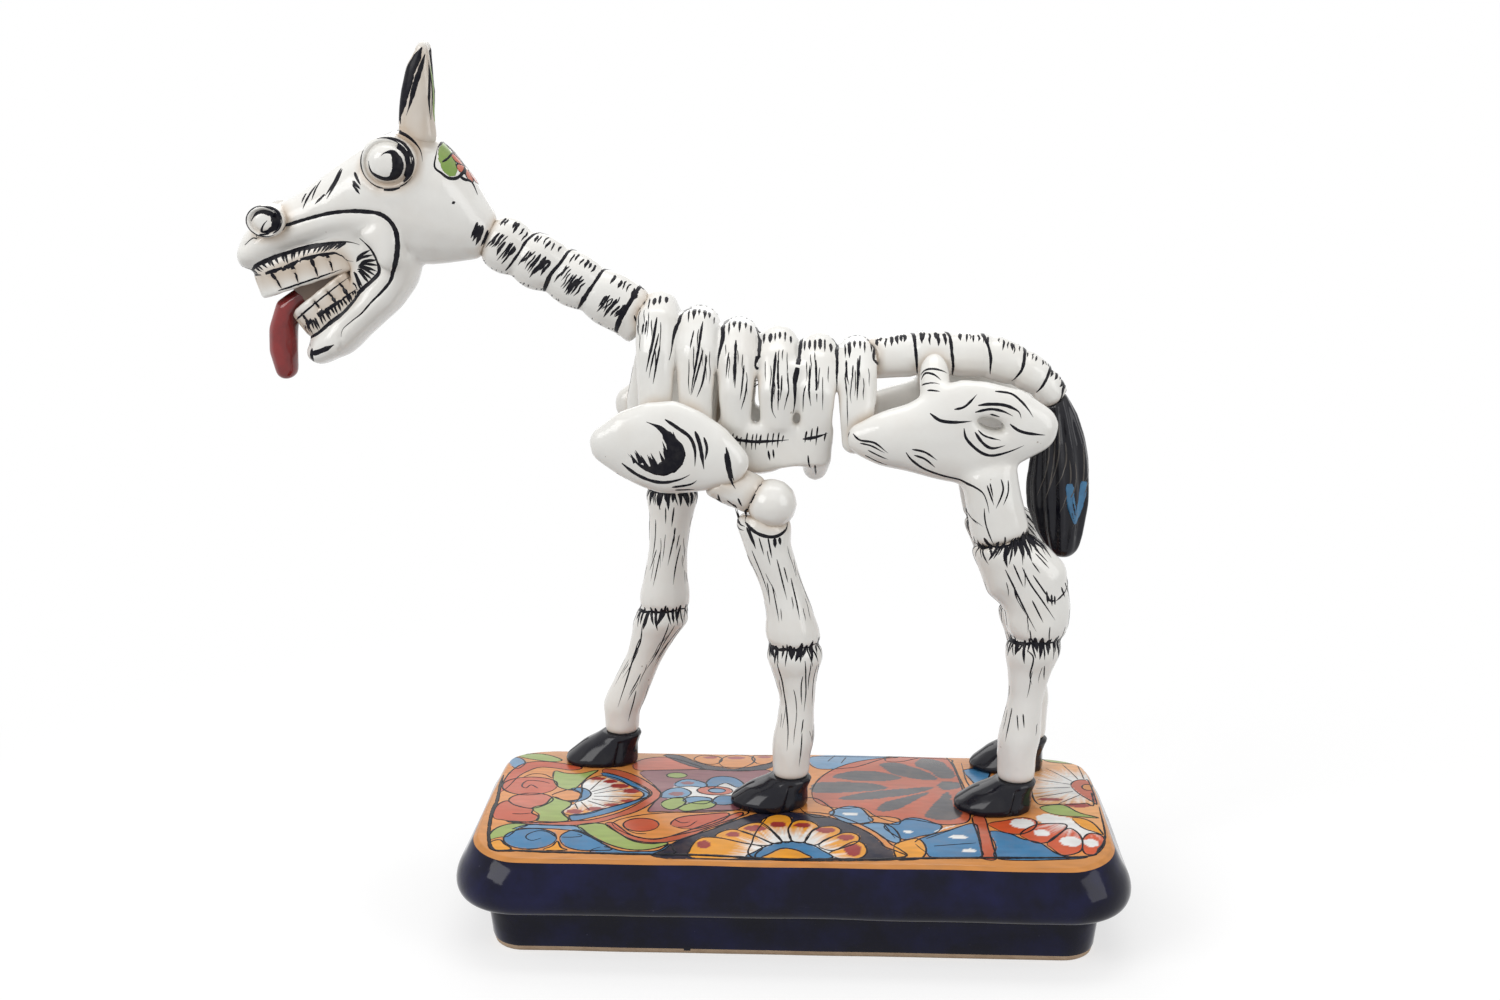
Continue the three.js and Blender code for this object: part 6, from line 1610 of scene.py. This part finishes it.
EYE_MIDDLE, BALL_MIDDLE, NOSTRIL_MIDDLE = (-170.4, 330.4), (-172.3, 331.4), (-224.4, 306.1)
SWIRL = ((-5.4, 0, 0.4), (-4.6, -4.3, 0.6), (-1.2, -6.6, 0.8), (2, -7.4, 1.0), (5.2, -6.2, 1.6), (7.2, -2.6, 2.1),
         (6.4, 1.7, 2.2), (4.8, 3.6, 1.8), (2, 3.4, 1.1), (0.4, 2.2, 0.5))
NOSTRIL_SWIRL = ((-6.0, 0, 0.4), (-2.6, 3.6, 0.8), (1.2, 4.2, 1.5), (4.4, 2.6, 2.0), (5.2, -0.8, 1.9),
                 (2.6, -4.0, 1.4), (-1.6, -4.6, 0.9), (-0.4, -1.6, 0.8), (1.4, 0.4, 0.7))
drawn = [weighted(LIP_OUTER, (0.35, 0.5, 0.55, 0.7, 0.75, 0.85, 0.9, 1.0, 0.8, 0.75, 0.7, 0.5)),
         weighted(LIP_INNER, (0.6, 0.85, 0.8, 0.9, 0.75, 0.5)), weighted(LIP_REAR, (0.4, 0.8, 0.8, 0.7, 0.85, 0.7)),
         weighted(GUM_LINE_UPPER, (0.5, 0.75, 0.65, 0.7, 0.6, 0.4)),
         weighted(GUM_LINE_LOWER, (0.7, 0.75, 0.65, 0.6)),
         ringed(EYE_MIDDLE, (11.4, 10.7), (0.65, 0.8, 0.55, 0.5, 0.7, 0.9, 1.1), 150, 330),
         ringed((-171.0, 330.6), (10.9, 10.2), (1.1, 1.6, 1.9, 1.8, 1.2, 0.7), -50, 108),
         ringed(EYE_MIDDLE, (13.6, 12.9), (0.4, 0.7, 0.8, 0.85, 0.7, 0.4), 122, 2),
         [(BALL_MIDDLE[0] + x, BALL_MIDDLE[1] + z, half_width) for x, z, half_width in SWIRL],
         ringed(NOSTRIL_MIDDLE, (7.9, 6.5), (0.5, 0.5, 0.6, 0.5), 100, 300, 16),
         ringed((-224.8, 306.2), (7.3, 6.0), (0.6, 1.1, 1.6, 1.6, 0.9, 0.4), -60, 110, 16),
         [(NOSTRIL_MIDDLE[0] + x, NOSTRIL_MIDDLE[1] + z, half_width) for x, z, half_width in NOSTRIL_SWIRL]]
# Dark lines along the lower edge of the upper teeth and the upper edge of the lower teeth.
drawn += [weighted(((-222.3, 276), (-212, 279.4), (-202, 282.7), (-194, 285.4)), (0.4, 0.3, 0.4)),
          weighted(((-217.2, 262.6), (-211, 267.3), (-204, 272.8), (-196, 278.8), (-190.6, 282.6)), (0.4, 0.3, 0.4))]
for top, bottom in TEETH_UPPER + TEETH_LOWER:
    drawn.append(weighted((top, tuple((np.array(top) + bottom) / 2 + (0.25, 0)), bottom), (0.6, 0.75, 0.8)))
for upper, lower, count in ((LIP_INNER[:-1], GUM_LINE_UPPER[:-3], 21), (GUM_LINE_LOWER, LIP_REAR[12:5:-1], 19)):
    for k in range(count):
        share = (k + 0.5 + brushed.uniform(-0.3, 0.3)) / count
        a, b = along_line(upper, share), along_line(lower, share)
        tip = a + (b - a) * brushed.uniform(0.55, 0.95) + np.array((brushed.uniform(-0.6, 0.4), 0))
        drawn.append([(*a, 0.5), (*((a + tip) / 2), 0.4), (*tip, 0.15)])
for k in range(10):
    root = np.array((-191.0, 287.3)) + np.array((brushed.uniform(0, 2), brushed.uniform(-1, 1)))
    tip = along_line(LIP_REAR[1:7], (k + 0.4) / 10) + np.array((brushed.uniform(-1, 0.6), 0))
    bend = (root + tip) / 2 + np.array((0, 0.9))
    drawn.append([(*(root + (tip - root) * 0.3), 0.3), (*bend, 0.5), (*tip, 0.4)])
for toward in (NEAR, FAR):
    y = MIDLINE - toward[1] * 45
    lines += [[(drop(search, (x, y, z), toward), half_width * 1.3) for x, z, half_width in row] for row in drawn]
for x, low, high in ((-237, 279.5, 287.5), (-236, 272.5, 280)):
    for y in (11.8, 18.0, 24.2):
        lines.append([(drop(search, (x, y, z), (1, 0, 0)), 0.45) for z in (high, (low + high) / 2, low)])
for y in (11.8, 18.0, 24.2):
    lines.append([(drop(search, (-230, y, z), (1, 0, 0)), 0.4) for z in (261.5, 259, 257)])
lines.append([(drop(search, (-237, y, 281.5 + 0.1 * abs(y - 18)), (1, 0, 0)), 0.6) for y in range(7, 30, 2)])
paint_lines("head_lines", body, lines, ink, spacing=0.6, sides=12)

# Flower on the nape: green leaves and orange-red petals laid on with a full brush, then outlined. The ears'
# backs carry a stripe of the same green.
leaf_green = glazed("leaf_green_glaze", (0.20, 0.33, 0.06), (0.30, 0.36, 0.12), crevice_shade=None, mottle_size=0.006,
                    mottle=0.5, specks=0.1, gloss=0.1)
petal_red = glazed("petal_red_glaze", (0.52, 0.10, 0.04), (0.75, 0.38, 0.30), crevice_shade=None, mottle_size=0.004,
                   mottle=0.8, specks=0.1, gloss=0.1)
EAR_FRONT = ((-155.6, 377.2, 0.8), (-158.2, 372.4, 2.4), (-161.2, 367.0, 3.0), (-163.2, 360.7, 3.0),
             (-164.8, 354.2, 2.5), (-166.0, 349.3, 1.6), (-167.8, 344.4, 0.5))
EAR_STREAK = ((-154.4, 374.6, 0.5), (-156.2, 368.5, 1.0), (-158.6, 362.0, 1.2), (-160.6, 355.5, 0.9),
              (-163.0, 349.5, 0.4))
EAR_BACK = ((-153.3, 373.3, 0.3), (-153.0, 364, 0.6), (-153.4, 355.8, 0.65), (-153.2, 347.8, 0.6))
for side in ("left", "right"):
    body, search = join_bodies(f"ear_{side}_guide", [f"ear_{side}_leaf"])
    found = arrays(pieces[f"ear_{side}_leaf"].data)[0]
    middle_y = (found[:, 1].min() + found[:, 1].max()) / 2
    lines = [[(drop(search, (x, middle_y - toward[1] * 20, z), toward), half_width) for x, z, half_width in row]
             for toward in (NEAR, FAR) for row in (EAR_FRONT, EAR_STREAK, EAR_BACK)]
    for offset in (-3.2, -1.6, 0, 1.6, 3.2):
        top = 377.5 - abs(offset) * 1.4
        lines.append([(drop(search, (-175, middle_y + offset * (1 - 0.5 * t), 346 + (top - 346) * t), (1, 0, 0)),
                       1.4 * math.sin(math.pi * (0.12 + 0.8 * t))) for t in np.linspace(0, 1, 9)])
    for shift in (-2.1, 2.1):
        lines.append([(drop(search, (-130, middle_y + shift, z), (-1, 0, 0)), 0.4) for z in (373, 365, 357, 348)])
    stripe = [[(drop(search, (-130, middle_y, z), (-1, 0, 0)), half_width)
               for z, half_width in ((373, 0.3), (369, 1.5), (362, 1.9), (355, 1.8), (350, 1.2), (347, 0.3))]]
    paint_lines(f"ear_{side}_stripe", body, stripe, leaf_green, thickness=0.06, start=1.0, end=1.0,
                sides=12)
    paint_lines(f"ear_{side}_lines", body, lines, ink, spacing=0.7, sides=16)

LEAF = ((-150.2, 338.2, 1.0), (-148.9, 335.4, 3.0), (-147.8, 331.8, 4.5), (-146.4, 327.9, 4.2), (-145.2, 324.6, 1.6))
LEAF_OUTLINE = ((-151.7, 336.4), (-150.6, 338.9), (-148.2, 338.5), (-145, 335.6), (-143, 331.9), (-142, 327.8),
                (-143, 324.2), (-146.3, 323.8), (-149.4, 326.1), (-152.1, 328.8), (-151.9, 334.4), (-151.7, 336.4))
LEAF_VEIN = ((-149.4, 330.4), (-147.6, 331.9), (-146.6, 334.4))
body, search = join_bodies("nape", ["skull_and_jaw"])
green, red, outlined = [], [], []
for toward in (NEAR, FAR):
    y = MIDLINE - toward[1] * 45
    green.append([(drop(search, (x, y, z), toward), half_width) for x, z, half_width in LEAF])
    outlined.append([(drop(search, (x, y, z), toward), 0.75) for x, z in LEAF_OUTLINE])
    outlined.append([(drop(search, (x, y, z), toward), 0.6) for x, z in LEAF_VEIN])
down, inward = Vector((0.62, 0, -0.79)), Vector((-0.79, 0, -0.62))
heart = drop(search, (-138, MIDLINE, 331), inward)
for k in range(7):
    turn = math.radians(k * 360 / 7 + 12)
    out = down * math.cos(turn) + Vector((0, 1, 0)) * math.sin(turn)
    aside = out.cross(inward)
    red.append([(search.find_nearest(heart + out * r)[0], half_width)
                for r, half_width in ((2.0, 0.6), (3.6, 1.6), (5.6, 2.3), (7.4, 2.1), (8.8, 0.7))])
    for sign in (-1, 1):
        outlined.append([(search.find_nearest(heart + out * r + aside * sign * half_width)[0], 0.45)
                         for r, half_width in ((1.6, 0.5), (3.6, 1.8), (5.6, 2.5), (7.6, 2.1), (9.3, 0.1))])
paint_lines("nape_petals", body, red, petal_red, thickness=0.06, start=1.0, end=1.0, sides=12)
paint_lines("nape_leaves", body, green, leaf_green, thickness=0.06, start=1.0, end=1.0, sides=12)
paint_lines("nape_outlines", body, outlined, ink, thickness=0.1)

def write_crevice_shade(cell=2.0, spread=3):
    """Counts nearby surface and stores it as an attribute: painted shade that darkens the glaze where crowded."""
    every = {name: arrays(piece.data) for name, piece in pieces.items() if name != "plinth_cover"}
    stacked = np.concatenate([a[0] for a in every.values()])
    low = stacked.min(0) - 4 * cell
    size = np.ceil((stacked.max(0) + 4 * cell - low) / cell).astype(int)
    grid = np.zeros(size)
    for points, edges, corners in every.values():
        p = points[corners]
        area = np.linalg.norm(np.cross(p[:, 1] - p[:, 0], p[:, 2] - p[:, 0]), axis=1) / 2
        at = ((p.mean(1) - low) / cell).astype(int)
        np.add.at(grid, tuple(at.T), area)
    for axis in range(3):
        for _ in range(spread):
            grid = (np.roll(grid, 1, axis) + 2 * grid + np.roll(grid, -1, axis)) / 4
    plain = np.median(grid[tuple(((stacked - low) / cell).astype(int).T)])
    for name, (points, _, _) in every.items():
        at = (points - low) / cell - 0.5
        base = np.floor(at).astype(int)
        part = at - base
        value = 0
        for corner in np.ndindex(2, 2, 2):
            weight = np.prod(np.where(corner, part, 1 - part), axis=1)
            value = value + weight * grid[tuple((base + corner).T)]
        crowded_shade = np.clip((value / plain - 1.1) * 0.9, 0, 1)
        layer = pieces[name].data.attributes.new("crevice_shade", "FLOAT", "POINT")
        layer.data.foreach_set("value", crowded_shade.astype(np.float32))


# Painted shade where the surface is crowded, stored on each clay piece.
write_crevice_shade()
for guide in guides:
    bpy.data.objects.remove(guide)
